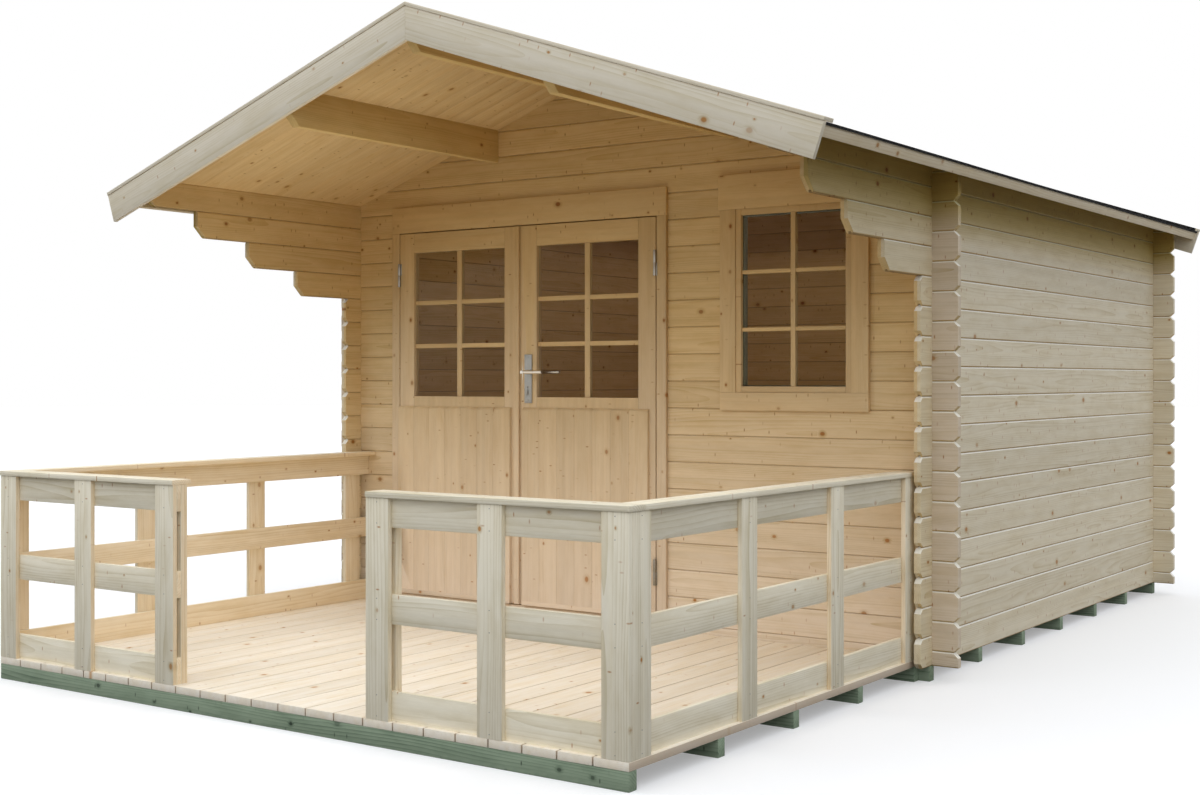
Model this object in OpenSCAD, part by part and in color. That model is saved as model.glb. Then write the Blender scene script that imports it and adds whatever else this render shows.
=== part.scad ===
// Garden house of notched wall logs with a gabled roof, a glazed double door,
// one window and a railed terrace in front. Sizes are in millimetres.
// X runs along the front, Y from the terrace to the back wall, Z up from the ground.

/* [Log walls] */
// Width of the house over its wall faces
house_w = 3000; // [2800:10:3400]
// Depth of the house over its wall faces
house_d = 3000; // [2400:10:4200]
// Thickness of a wall log
log_t = 28; // [24:1:34]
// Height of one log course
log_h = 114; // [110:1:120]
// Number of full courses in a side wall
side_courses = 17; // [17:1:18]
// Length of the log ends past the corners
log_end = 105; // [80:1:130]
// Chamfer on the corners of a log end
end_chamfer = 20; // [8:1:24]
// Play between a log and the logs that it meets
log_play = 0.3; // [0.2:0.05:0.5]
// Height of the chamfer that makes the groove between two courses
groove_h = 5; // [2:0.5:8]
// Depth of that chamfer into the log's face
groove_d = 3; // [1:0.5:5]
// Width of the tongue along the top of a log
tongue_w = 10; // [8:0.5:12]
// Height of that tongue
tongue_h = 7; // [4:0.5:10]

/* [Corbels] */
// Number of stepped corbel logs under the top log of a side wall
corbel_count = 3; // [1:1:4]
// Reach of the lowest corbel past the front wall
corbel_reach = 425; // [300:5:450]
// Further reach of each corbel above it
corbel_step = 297.5; // [200:0.5:300]
// Chamfer under the front end of a corbel or purlin
corbel_chamfer = 48; // [20:1:60]

/* [Bearers and floors] */
// Height of a bearer
bearer_h = 58; // [40:1:80]
// Width of a bearer
bearer_w = 40; // [36:1:60]
// Number of bearers under the house
house_bearer_count = 7; // [4:1:9]
// Number of bearers under the terrace
terrace_bearer_count = 5; // [3:1:7]
// Thickness of the house floor
floor_t = 19; // [16:1:28]
// Set-in of the terrace deck from the wall face on each side
deck_inset = 45; // [40:1:200]
// Depth of the terrace deck
deck_d = 2000; // [1700:10:2400]
// Thickness of the terrace deck
deck_t = 26; // [20:1:34]

/* [Roof] */
// Pitch of the roof in degrees
roof_pitch = 18.9; // [16:0.1:22]
// Reach of the roof past the front wall, over the bargeboard
front_overhang = 1311; // [1280:1:1500]
// Reach of the roof past the back wall, over the bargeboard
back_overhang = 100; // [80:1:200]
// Reach of the roof boards past a side wall
eave_overhang = 173; // [140:1:260]
// Thickness of the roof boards
roof_t = 18; // [16:1:24]
// Thickness of the roofing felt
felt_t = 2.5; // [2:0.5:5]
// Depth of the felt that is folded down over the eave
felt_lip = 13; // [6:1:20]
// Width of a bargeboard
barge_w = 120; // [90:1:150]
// Thickness of a bargeboard
barge_t = 18; // [14:1:28]
// Reach of a bargeboard past the eave fascia
barge_lap = 11; // [0:1:30]
// Width of the strip that caps a bargeboard
barge_cap_w = 62; // [45:1:90]
// Thickness of that strip
barge_cap_t = 14; // [8:1:20]
// Reach of that strip past the bargeboard's face
barge_cap_proud = 3; // [0:0.5:10]
// Height of an eave fascia
fascia_h = 45; // [30:1:60]
// Thickness of an eave fascia
fascia_t = 18; // [12:1:28]
// Width of a purlin
purlin_w = 40; // [34:1:60]
// Height of a purlin from its underside to the roof boards
purlin_h = 141; // [110:1:160]
// Distance of a side purlin from the ridge
purlin_x = 633; // [500:1:800]

/* [Door] */
// Share of the bare front wall that stands left of the door
left_wall_share = 0.3188; // [0.2:0.0001:0.45]
// Clear width of the doorway inside its frame
door_w = 1465; // [1300:5:1500]
// Underside of the door frame's head, above the wall base
door_top = 1788; // [1600:1:1800]
// Thickness of the door frame in its opening
door_frame_t = 28; // [20:1:40]
// Depth of the door frame behind the casing
door_frame_d = 50; // [40:1:70]
// Thickness of the sill on the lowest log
sill_t = 12; // [8:1:30]
// Thickness of the door and window casings
casing_t = 18; // [12:1:24]
// Width of the casing beside the door
door_casing_w = 47; // [35:1:70]
// Height of the casing over the door
door_casing_head = 120; // [80:1:130]
// Clearance round each leaf
leaf_gap = 5; // [5:0.5:8]
// Clearance between the two leaves
meeting_gap = 8; // [8:0.5:12]
// Thickness of a leaf
leaf_t = 40; // [34:1:46]
// Width of a leaf's stiles
stile_w = 88; // [70:1:110]
// Height of a leaf's top rail
leaf_top_rail = 92; // [70:1:120]
// Underside of the glass, above the wall base
leaf_glass_z = 1011; // [950:1:1080]
// Width of the strip along the left leaf's meeting edge
meeting_strip_w = 28; // [18:1:40]
// Thickness of that strip
meeting_strip_t = 8; // [4:1:12]
// Width of a leaf that its lower panel leaves bare
panel_bare = 47.5; // [45:0.5:70]
// Thickness of a leaf's lower panel
panel_t = 15; // [8:1:18]
// Top of the lower panels, above the wall base
panel_top = 964; // [900:1:975]
// Bevel along the top of a lower panel
panel_bevel = 12; // [4:1:20]
// Set-in of the right leaf's panel from its meeting edge
panel_inset = 16; // [5:1:20]
// Width of the stop that a leaf shuts against
stop_w = 12; // [8:1:20]
// Thickness of the glass
glass_t = 4; // [3:1:8]

/* [Door hardware] */
// Radius of a hinge knuckle
knuckle_r = 6.5; // [5:0.5:8]
// Height of a hinge knuckle
knuckle_h = 110; // [60:1:140]
// Gap from a knuckle to the leaf's face
knuckle_lift = 0.5; // [0.3:0.1:1]
// Radius of a hinge pin
hinge_pin_r = 3; // [2:0.5:4]
// Running play round a hinge pin
hinge_pin_play = 0.15; // [0.1:0.05:0.3]
// Distance of a hinge from the end of its leaf
hinge_inset = 141; // [120:1:300]
// Width of a hinge flap on the leaf
hinge_flap_w = 22; // [15:1:40]
// Thickness of a hinge flap
hinge_flap_t = 2; // [1.5:0.5:3]
// Width of the handle plate
plate_w = 41; // [34:1:50]
// Height of the handle plate
plate_h = 219; // [160:1:240]
// Thickness of the handle plate
plate_t = 6; // [4:0.5:10]
// Top of the handle plate, above the wall base
plate_top = 1203; // [1150:1:1250]
// Height of the lever's spindle, above the wall base
lever_z = 1123; // [1080:1:1140]
// Length of the lever from its spindle
lever_l = 108; // [80:1:130]
// Radius of the lever
lever_r = 8; // [6:0.5:10]
// Reach of the lever from the plate to its middle
lever_reach = 42; // [30:1:60]
// Radius of the spindle that joins the levers
spindle_r = 4.5; // [3:0.5:6]
// Running play round the spindle
spindle_play = 0.4; // [0.2:0.1:0.8]

/* [Window] */
// Share of the bare front wall that stands right of the window
right_wall_share = 0.3145; // [0.2:0.0001:0.45]
// Width of the window inside its casing
window_w = 523; // [420:1:560]
// Underside of the window inside its casing, above the wall base
window_z = 1037; // [950:1:1100]
// Height of the window inside its casing
window_h = 753; // [600:1:760]
// Width of the casing beside and under the window
window_casing_w = 74; // [50:1:85]
// Height of the casing over the window
window_casing_head = 143; // [90:1:150]
// Further reach of that head past the side casings
window_head_lap = 8; // [0:1:12]
// Thickness of the window frame in its opening
window_frame_t = 20; // [10:1:30]
// Depth of the window frame behind the casing
window_frame_d = 42; // [36:1:60]
// Width of the sash members
sash_w = 25; // [15:1:40]
// Depth of the sash
sash_d = 36; // [28:1:50]
// Set-back of the sash behind the casing's face
sash_setback = 4; // [0:1:10]

/* [Railing] */
// Height of the railing over the deck
rail_top = 714; // [600:1:900]
// Thickness of the railing boards
rail_t = 18; // [14:1:24]
// Width of a railing upright
upright_w = 95; // [70:1:120]
// Height of a horizontal rail
rail_h = 93; // [70:1:120]
// Length of each front railing panel
front_rail_l = 998; // [800:1:1050]
// Thickness of the inner upright beside the terrace opening
gate_upright_t = 28; // [18:1:40]
// Width of the flat cap board
rail_cap_w = 85; // [75:1:120]
// Thickness of the flat cap board
rail_cap_t = 18; // [14:1:28]
// Reach of the cap board past the uprights
rail_cap_proud = 4; // [0:0.5:10]
// Gap from the last side upright to the front wall
wall_upright_gap = 47; // [10:1:80]
// Number of uprights in each front panel
front_upright_count = 3; // [2:1:4]
// Number of uprights along each side
side_upright_count = 4; // [3:1:5]
// Number of rails, one above the other
rail_count = 3; // [2:1:4]

/* [Hidden] */
// Overrun of every cut past the faces that it opens
over = 20;
// Taper of each side of the tongue
tongue_taper = 1.2;
// Clearance of the floor from the walls round it
floor_gap = 4;
// Gap between the bearers of the house and of the terrace
bearer_gap = 2;
// Place of a leaf's glass in its thickness
glass_share = 0.5;
// Share of a log's height that a corner notch takes, above and below
notch_share = 0.25;
// Share of a course by which the front and back logs are set off
offset_share = 0.5;
$fn = 48;

front_reach = deck_d + rail_cap_proud;
back_reach = house_d + back_overhang + barge_cap_proud;
wall_y = (front_reach - back_reach) / 2;
wall_top = side_courses * log_h;
side_x = (house_w - log_t) / 2;
roof_slope = tan(roof_pitch);
ridge_z = wall_top + (house_w / 2 - log_t) * roof_slope;
eave_u = (house_w / 2 + eave_overhang) / cos(roof_pitch);
barge_u = eave_u + fascia_t + barge_lap;
barge_top = roof_t + felt_t;
roof_y0 = barge_t - front_overhang;
roof_y1 = house_d + back_overhang - barge_t;
purlin_bottom = ridge_z - purlin_x * roof_slope - purlin_h;
ridge_bottom = ridge_z - purlin_h;

// Width of front wall that is left beside the door and the window with their casings
bare_wall = house_w - 2 * log_t - door_w - 2 * door_casing_w
            - window_w - 2 * (window_casing_w + window_head_lap);
door_x0 = log_t - house_w / 2 + bare_wall * left_wall_share + door_casing_w;
door_x1 = door_x0 + door_w;
door_cut_top = door_top + door_frame_t;
half_log = log_h * offset_share;
sill_top = half_log + sill_t;
leaf_w = (door_w - 2 * leaf_gap - meeting_gap) / 2;
panel_w = leaf_w - panel_bare;
leaf_z0 = sill_top + leaf_gap;
leaf_z1 = door_top - leaf_gap;
leaf_y = -casing_t;
hinge_y = leaf_y - knuckle_r - knuckle_lift;
left_leaf_x = door_x0 + leaf_gap;
right_leaf_x = door_x1 - leaf_gap - leaf_w;
glass_z1 = leaf_z1 - leaf_top_rail;
handle_x = right_leaf_x + stile_w / 2;

window_x1 = house_w / 2 - log_t - bare_wall * right_wall_share - window_head_lap - window_casing_w;
window_x0 = window_x1 - window_w;
window_z1 = window_z + window_h;
sash_y = sash_setback - casing_t;

deck_x = house_w / 2 - deck_inset;
rail_z0 = deck_t;
rail_z1 = deck_t + rail_top - rail_cap_t;
front_rail_y = -deck_d;
corner_upright_y = front_rail_y + rail_t;
side_pitch = (deck_d - rail_t - upright_w - wall_upright_gap) / (side_upright_count - 1);

// Courses whose logs stop at the doorway, counted from the first whole front log
door_courses = floor((door_cut_top - half_log) / log_h);
// Courses of the gable, from the log that crosses the top of the side walls
gable_courses = ceil((ridge_z - (side_courses - offset_share) * log_h) / log_h);

SPRUCE = "burlywood";
PALE_SPRUCE = "blanchedalmond";
GREEN_TIMBER = "darkseagreen";
FELT = "dimgray";
STEEL = "silver";
GLASS = [0.75, 0.82, 0.84, 0.4];

// Stands the drawing on its bearers, with the middle of the whole house at the origin
module stood() {
    translate([0, wall_y, bearer_h]) children();
}

// A block between two corners
module block(low, high) {
    translate(low) cube(high - low);
}

// Section of a log, its thickness along the first axis and its height along the second
module log_section(height, tongue, groove) {
    top = height - log_play;
    face = log_t / 2;
    slot = tongue_w / 2 + log_play;
    lip = tongue_w / 2;
    polygon(concat(
        [[-face, groove_h], [groove_d - face, 0]],
        groove ? [
            [-slot, 0],
            [tongue_taper - slot, tongue_h],
            [slot - tongue_taper, tongue_h],
            [slot, 0]
        ] : [],
        [[face - groove_d, 0], [face, groove_h], [face, top - groove_h], [face - groove_d, top]],
        tongue ? [
            [lip, top],
            [lip - tongue_taper, top + tongue_h],
            [tongue_taper - lip, top + tongue_h],
            [-lip, top]
        ] : [],
        [[groove_d - face, top], [-face, top - groove_h]]
    ));
}

// Side of a log along its length, with its corners cut back by low and high chamfers
module log_side(length, height, start, end) {
    peak = height + tongue_h;
    polygon(concat(
        start[0] > 0 ? [[0, start[0]], [start[0], 0]] : [[0, 0]],
        end[0] > 0 ? [[length - end[0], 0], [length, end[0]]] : [[length, 0]],
        end[1] > 0 ? [[length, height - end[1]], [length - end[1] - tongue_h, peak]] : [[length, peak]],
        start[1] > 0 ? [[start[1] + tongue_h, peak], [0, height - start[1]]] : [[0, peak]]
    ));
}

// A log along X from the origin; start and end give the chamfers under and over its ends
module log_along(length, height, start, end, tongue = true, groove = true) {
    intersection() {
        rotate([90, 0, 90]) linear_extrude(length) log_section(height, tongue, groove);
        translate([0, log_t / 2, 0]) rotate([90, 0, 0])
            linear_extrude(log_t) log_side(length, height, start, end);
    }
}

// Cuts that let a crossing wall pass at place x of a log
module corner_notch(x, height, below, above) {
    half = log_t / 2 + log_play;
    depth = log_h * notch_share + log_play / 2;
    if (below) block([x - half, -log_t, -over], [x + half, log_t, depth]);
    if (above) block([x - half, -log_t, height - depth], [x + half, log_t, height + over]);
}

// All the room under the roof boards
module under_roof(clear) {
    reach = house_w / 2 + eave_overhang;
    top = ridge_z - clear;
    translate([0, roof_y1, 0]) rotate([90, 0, 0]) linear_extrude(roof_y1 - roof_y0)
        polygon([[-reach, -over], [reach, -over], [reach, top - reach * roof_slope],
                 [0, top], [-reach, top - reach * roof_slope]]);
}

// Reach of a side wall's log past the front wall, course by course
function front_end(course) =
    course == side_courses - 1 ? -roof_y0 - log_play
    : course < side_courses - 1 - corbel_count ? log_end
    : corbel_reach + (course - (side_courses - 1 - corbel_count)) * corbel_step;

// One side wall's log, standing at its course
module side_log(course) {
    reach = front_end(course);
    back_end = roof_y1 - house_d - log_play;
    corbel = course >= side_courses - 1 - corbel_count;
    top = course == side_courses - 1;
    start = corbel ? [corbel_chamfer, 0] : [end_chamfer, end_chamfer];
    end = [end_chamfer, top ? 0 : end_chamfer];
    translate([0, -reach, course * log_h]) rotate([0, 0, 90]) difference() {
        log_along(reach + house_d + back_end, log_h, start, end, !top, course > 0);
        corner_notch(reach + log_t / 2, log_h, true, true);
        corner_notch(reach + house_d - log_t / 2, log_h, true, true);
    }
}

module side_wall(x) {
    for (course = [0 : side_courses - 2]) translate([x, 0, 0]) side_log(course);
    intersection() {
        translate([x, 0, 0]) side_log(side_courses - 1);
        under_roof(log_play);
    }
}

// A front or back log from x0 to x1; free ends reach past the side walls
module cross_log(course, x0, x1, above = true) {
    low = course == 0 ? 0 : (course - offset_share) * log_h;
    height = course == 0 ? half_log : log_h;
    free0 = x0 < -side_x;
    free1 = x1 > side_x;
    chamfers = [course == 0 ? 0 : end_chamfer, above ? end_chamfer : 0];
    translate([x0, log_t / 2, low]) difference() {
        log_along(x1 - x0, height, free0 ? chamfers : [0, 0], free1 ? chamfers : [0, 0],
                  true, course > 0);
        if (free0) corner_notch(-side_x - x0, height, course > 0, above);
        if (free1) corner_notch(side_x - x0, height, course > 0, above);
    }
}

module whole_cross_log(course, above = true) {
    reach = house_w / 2 + log_end;
    cross_log(course, -reach, reach, above);
}

// Room for a purlin, with play round it
module purlin_seat(x, bottom) {
    half = purlin_w / 2 + log_play;
    block([x - half, roof_y0, bottom - log_play], [x + half, roof_y1, ridge_z + over]);
}

// A purlin from bargeboard to bargeboard, chamfered under both ends and bevelled to the roof
module purlin(x, bottom) {
    length = roof_y1 - roof_y0;
    height = ridge_z - bottom;
    intersection() {
        translate([x - purlin_w / 2, roof_y0, bottom]) rotate([90, 0, 90]) linear_extrude(purlin_w)
            polygon([[corbel_chamfer, 0], [length - corbel_chamfer, 0], [length, corbel_chamfer],
                     [length, height], [0, height], [0, corbel_chamfer]]);
        under_roof(log_play);
    }
}

// Point of the right slope, u down the slope from the ridge and w square to the roof boards
function slope_point(u, w) = [
    u * cos(roof_pitch) + w * sin(roof_pitch),
    ridge_z - u * sin(roof_pitch) + w * cos(roof_pitch)
];

// Point at height w over the roof boards' underside, on the joint at the ridge
function ridge_point(w) = [log_play / 2, ridge_z + w / cos(roof_pitch) - log_play / 2 * roof_slope];

// A board or sheet of the right slope from the ridge down to u, between two depths
module slope_slab(u, w0, w1, y0, y1) {
    translate([0, y1, 0]) rotate([90, 0, 0]) linear_extrude(y1 - y0)
        polygon([ridge_point(w0), slope_point(u, w0), slope_point(u, w1), ridge_point(w1)]);
}

module roof_boards() {
    slope_slab(eave_u, 0, roof_t, roof_y0, roof_y1);
}

// Felt over one slope, folded down over its fascia
module roof_felt() {
    edge = eave_u + fascia_t + log_play;
    low = roof_t + log_play;
    translate([0, roof_y1, 0]) rotate([90, 0, 0]) linear_extrude(roof_y1 - roof_y0)
        polygon([
            ridge_point(low),
            slope_point(edge, low),
            slope_point(edge, roof_t - felt_lip),
            slope_point(edge + felt_t, roof_t - felt_lip),
            slope_point(edge + felt_t, barge_top),
            ridge_point(barge_top)
        ]);
}

module eave_fascia() {
    translate([0, roof_y1, 0]) rotate([90, 0, 0]) linear_extrude(roof_y1 - roof_y0)
        polygon([
            slope_point(eave_u + log_play, roof_t - fascia_h),
            slope_point(eave_u + fascia_t, roof_t - fascia_h),
            slope_point(eave_u + fascia_t, roof_t),
            slope_point(eave_u + log_play, roof_t)
        ]);
}

// Draws a piece of the right slope and its mirror on the left slope
module both_slopes() {
    children();
    mirror([1, 0, 0]) children();
}

// One leaf without its panel, glass or hardware: rails between whole stiles
module leaf_frame(x) {
    y1 = leaf_y + leaf_t;
    inner0 = x + stile_w + log_play;
    inner1 = x + leaf_w - stile_w - log_play;
    block([x, leaf_y, leaf_z0], [x + stile_w, y1, leaf_z1]);
    block([x + leaf_w - stile_w, leaf_y, leaf_z0], [x + leaf_w, y1, leaf_z1]);
    block([inner0, leaf_y, glass_z1], [inner1, y1, leaf_z1]);
    block([inner0, leaf_y, leaf_z0], [inner1, y1, leaf_glass_z]);
}

module leaf_glass(x) {
    middle = leaf_y + leaf_t * glass_share;
    block([x + stile_w + log_play, middle - glass_t / 2, leaf_glass_z + log_play],
          [x + leaf_w - stile_w - log_play, middle + glass_t / 2, glass_z1 - log_play]);
}

// Lower panel on the face of a leaf, from its left edge, bevelled along its top
module leaf_panel(x) {
    height = panel_top - leaf_z0;
    translate([x, leaf_y, leaf_z0]) rotate([90, 0, 90]) linear_extrude(panel_w)
        polygon([[0, 0], [0, height], [panel_bevel - panel_t, height],
                 [-panel_t, height - panel_bevel], [-panel_t, 0]]);
}

// Undersides of a leaf's two hinges
function hinge_lows() = [leaf_z0 + hinge_inset, leaf_z1 - hinge_inset - knuckle_h];

// Half of a lift-off hinge on the hinge line at x, with a flap that lies on the wood in direction way
module hinge_half(x, z, way) {
    translate([x, hinge_y, z]) cylinder(r = knuckle_r, h = knuckle_h / 2 - log_play);
    translate([x, leaf_y - hinge_flap_t, z])
        mirror([way < 0 ? 1 : 0, 0, 0]) cube([hinge_flap_w, hinge_flap_t, knuckle_h / 2 - log_play]);
}

// Upper hinge halves, bored for the pins that they turn on
module leaf_hinges(x, way) {
    for (low = hinge_lows()) difference() {
        hinge_half(x, low + knuckle_h / 2, way);
        translate([x, hinge_y, low]) cylinder(r = hinge_pin_r + hinge_pin_play, h = knuckle_h + over);
    }
}

// Lower hinge halves on the casing, with the pins that stand up out of them
module frame_hinges(x, way) {
    for (low = hinge_lows()) {
        hinge_half(x, low, way);
        translate([x, hinge_y, low]) cylinder(r = hinge_pin_r, h = knuckle_h);
    }
}

// Uprights of the railing's front, from the left end of one panel
module front_uprights(x) {
    pitch = (front_rail_l - upright_w) / (front_upright_count - 1);
    for (i = [0 : front_upright_count - 1])
        block([x + i * pitch, front_rail_y, rail_z0],
              [x + i * pitch + upright_w, front_rail_y + rail_t, rail_z1]);
}

// Undersides of the rails of a panel
function rail_lows() =
    [for (i = [0 : rail_count - 1]) rail_z0 + i * (rail_z1 - rail_h - rail_z0) / (rail_count - 1)];

module house_bearers() color(GREEN_TIMBER) stood() {
    first = -bearer_w / 2;
    pitch = (house_d - bearer_w - first) / (house_bearer_count - 1);
    for (i = [0 : house_bearer_count - 1])
        block([-house_w / 2, first + i * pitch, -bearer_h],
              [house_w / 2, first + i * pitch + bearer_w, 0]);
}

module terrace_bearers() color(GREEN_TIMBER) stood() {
    last = -bearer_w / 2 - bearer_gap - bearer_w;
    pitch = (last + deck_d) / (terrace_bearer_count - 1);
    for (i = [0 : terrace_bearer_count - 1])
        block([-deck_x, i * pitch - deck_d, -bearer_h], [deck_x, i * pitch - deck_d + bearer_w, 0]);
}

module house_floor() color(PALE_SPRUCE) stood() {
    x = house_w / 2 - log_t - floor_gap;
    block([-x, log_t + floor_gap, 0], [x, house_d - log_t - floor_gap, floor_t]);
}

module terrace_deck() color(PALE_SPRUCE) stood() {
    block([-deck_x, -deck_d, 0], [deck_x, -log_play, deck_t]);
}

module left_wall() color(SPRUCE) stood() side_wall(-side_x);

module right_wall() color(SPRUCE) stood() side_wall(side_x);

module back_wall() color(SPRUCE) stood() intersection() {
    translate([0, house_d - log_t, 0])
        for (course = [0 : side_courses - 1]) whole_cross_log(course);
    under_roof(log_play);
}

// The logs of a gable whose outer face lies at y, cut to the slope and let in round the purlins
module gable(y) {
    difference() {
        intersection() {
            translate([0, y, 0])
                for (course = [side_courses : side_courses + gable_courses - 1])
                    whole_cross_log(course, false);
            under_roof(log_play);
        }
        for (x = [-purlin_x, purlin_x]) purlin_seat(x, purlin_bottom);
        purlin_seat(0, ridge_bottom);
    }
}

module back_gable() color(SPRUCE) stood() gable(house_d - log_t);

module front_sill_log() color(SPRUCE) stood() difference() {
    whole_cross_log(0);
    door_opening();
}

module front_wall_left() color(SPRUCE) stood() {
    for (course = [1 : door_courses])
        cross_log(course, -house_w / 2 - log_end, door_x0 - door_frame_t - log_play);
}

module front_wall_right() color(SPRUCE) stood() difference() {
    for (course = [1 : door_courses])
        cross_log(course, door_x1 + door_frame_t + log_play, house_w / 2 + log_end);
    window_opening();
}

// Room for the door frame in the logs
module door_opening() {
    edge = door_frame_t + log_play;
    block([door_x0 - edge, -over, half_log - log_play],
          [door_x1 + edge, log_t + over, door_cut_top + log_play]);
}

// Room for the window frame in the logs
module window_opening() {
    edge = window_frame_t + log_play;
    block([window_x0 - edge, -over, window_z - edge], [window_x1 + edge, log_t + over, window_z1 + edge]);
}

module front_wall_over_door() color(SPRUCE) stood() difference() {
    intersection() {
        for (course = [door_courses + 1 : side_courses - 1]) whole_cross_log(course);
        under_roof(log_play);
    }
    door_opening();
    window_opening();
}

module front_gable() color(SPRUCE) stood() gable(0);

module ridge_purlin() color(SPRUCE) stood() purlin(0, ridge_bottom);

module side_purlins() color(SPRUCE) stood() {
    for (x = [-purlin_x, purlin_x]) purlin(x, purlin_bottom);
}

module left_roof_boards() color(SPRUCE) stood() mirror([1, 0, 0]) roof_boards();

module right_roof_boards() color(SPRUCE) stood() roof_boards();

module left_roof_felt() color(FELT) stood() mirror([1, 0, 0]) roof_felt();

module right_roof_felt() color(FELT) stood() roof_felt();

module front_bargeboards() color(PALE_SPRUCE) stood() both_slopes()
    slope_slab(barge_u, barge_top - barge_w, barge_top, -front_overhang, roof_y0);

module back_bargeboards() color(PALE_SPRUCE) stood() both_slopes()
    slope_slab(barge_u, barge_top - barge_w, barge_top, roof_y1, house_d + back_overhang);

module bargeboard_caps() color(PALE_SPRUCE) stood() both_slopes() {
    front = -front_overhang - barge_cap_proud;
    back = house_d + back_overhang + barge_cap_proud;
    low = barge_top + log_play;
    top = barge_top + barge_cap_t;
    slope_slab(barge_u, low, top, front, front + barge_cap_w);
    slope_slab(barge_u, low, top, back - barge_cap_w, back);
}

module eave_fascias() color(PALE_SPRUCE) stood() both_slopes() eave_fascia();

module door_frame() color(SPRUCE) stood() {
    x0 = door_x0 - door_frame_t;
    x1 = door_x1 + door_frame_t;
    block([x0, 0, half_log], [door_x0, door_frame_d, door_cut_top]);
    block([door_x1, 0, half_log], [x1, door_frame_d, door_cut_top]);
    block([door_x0 + log_play, 0, door_top], [door_x1 - log_play, door_frame_d, door_cut_top]);
    block([door_x0 + log_play, leaf_y, half_log], [door_x1 - log_play, door_frame_d, sill_top]);
}

// Strips inside the frame, behind the shut leaves
module door_stops() color(SPRUCE) stood() {
    y = leaf_y + leaf_t + leaf_gap;
    x0 = door_x0 + stop_w;
    x1 = door_x1 - stop_w;
    block([door_x0, y, sill_top], [x0, door_frame_d, door_top]);
    block([x1, y, sill_top], [door_x1, door_frame_d, door_top]);
    block([x0 + log_play, y, door_top - stop_w], [x1 - log_play, door_frame_d, door_top]);
}

module door_frame_hinges() color(STEEL) stood() {
    frame_hinges(left_leaf_x, -1);
    frame_hinges(right_leaf_x + leaf_w, 1);
}

module door_casing() color(SPRUCE) stood() {
    x0 = door_x0 - door_casing_w;
    x1 = door_x1 + door_casing_w;
    block([x0, -casing_t, deck_t], [door_x0, 0, door_top - log_play]);
    block([door_x1, -casing_t, deck_t], [x1, 0, door_top - log_play]);
    block([x0, -casing_t, door_top], [x1, 0, door_top + door_casing_head]);
}

// Four members round an opening of the wall: two uprights, with two level ones between them
module wooden_ring(low, high, member) {
    inner0 = low[0] + member + log_play;
    inner1 = high[0] - member - log_play;
    block(low, [low[0] + member, high[1], high[2]]);
    block([high[0] - member, low[1], low[2]], high);
    block([inner0, low[1], low[2]], [inner1, high[1], low[2] + member]);
    block([inner0, low[1], high[2] - member], [inner1, high[1], high[2]]);
}

module window_frame() color(SPRUCE) stood() {
    edge = window_frame_t;
    wooden_ring([window_x0 - edge, 0, window_z - edge],
                [window_x1 + edge, window_frame_d, window_z1 + edge], window_frame_t);
}

module window_sash() color(SPRUCE) stood() {
    wooden_ring([window_x0 + log_play, sash_y, window_z + log_play],
                [window_x1 - log_play, sash_y + sash_d, window_z1 - log_play], sash_w);
}

module window_casing() color(SPRUCE) stood() {
    x0 = window_x0 - window_casing_w;
    x1 = window_x1 + window_casing_w;
    head = window_z1 + window_casing_head;
    block([x0, -casing_t, window_z], [window_x0, 0, window_z1 - log_play]);
    block([window_x1, -casing_t, window_z], [x1, 0, window_z1 - log_play]);
    block([x0, -casing_t, window_z - window_casing_w], [x1, 0, window_z - log_play]);
    block([x0 - window_head_lap, -casing_t, window_z1], [x1 + window_head_lap, 0, head]);
}

module window_glass() color(GLASS) stood() {
    middle = sash_y + sash_d * glass_share;
    edge = sash_w + 2 * log_play;
    block([window_x0 + edge, middle - glass_t / 2, window_z + edge],
          [window_x1 - edge, middle + glass_t / 2, window_z1 - edge]);
}

module left_door_leaf() color(SPRUCE) stood() leaf_frame(left_leaf_x);

// The left panel covers the leaf to its hinge edge, so it is cut out round the hinges
module left_door_panel() color(PALE_SPRUCE) stood() difference() {
    leaf_panel(left_leaf_x);
    for (z = hinge_lows())
        block([left_leaf_x - over, leaf_y - panel_t - over, z - leaf_gap],
              [left_leaf_x + hinge_flap_w + leaf_gap, leaf_y + over, z + knuckle_h + leaf_gap]);
}

module left_door_glass() color(GLASS) stood() leaf_glass(left_leaf_x);

module left_door_strip() color(SPRUCE) stood() {
    x1 = left_leaf_x + leaf_w;
    block([x1 - meeting_strip_w, leaf_y - meeting_strip_t, leaf_z0], [x1, leaf_y, leaf_z1]);
}

module left_door_hinges() color(STEEL) stood() leaf_hinges(left_leaf_x, 1);

module right_door_leaf() color(SPRUCE) stood() difference() {
    leaf_frame(right_leaf_x);
    spindle_bore();
}

module right_door_panel() color(PALE_SPRUCE) stood() leaf_panel(right_leaf_x + panel_inset);

module right_door_glass() color(GLASS) stood() leaf_glass(right_leaf_x);

module right_door_hinges() color(STEEL) stood() leaf_hinges(right_leaf_x + leaf_w, -1);

// Bore for the spindle, through the leaf and both plates
module spindle_bore() {
    translate([handle_x, leaf_y - plate_t - over, lever_z]) rotate([-90, 0, 0])
        cylinder(r = spindle_r + spindle_play, h = leaf_t + 2 * plate_t + 2 * over);
}

module plate(y) {
    x = handle_x - plate_w / 2;
    difference() {
        block([x, y, plate_top - plate_h], [x + plate_w, y + plate_t, plate_top]);
        spindle_bore();
    }
}

module handle_plate() color(STEEL) stood() plate(leaf_y - plate_t);

module inner_handle_plate() color(STEEL) stood() plate(leaf_y + leaf_t);

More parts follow.
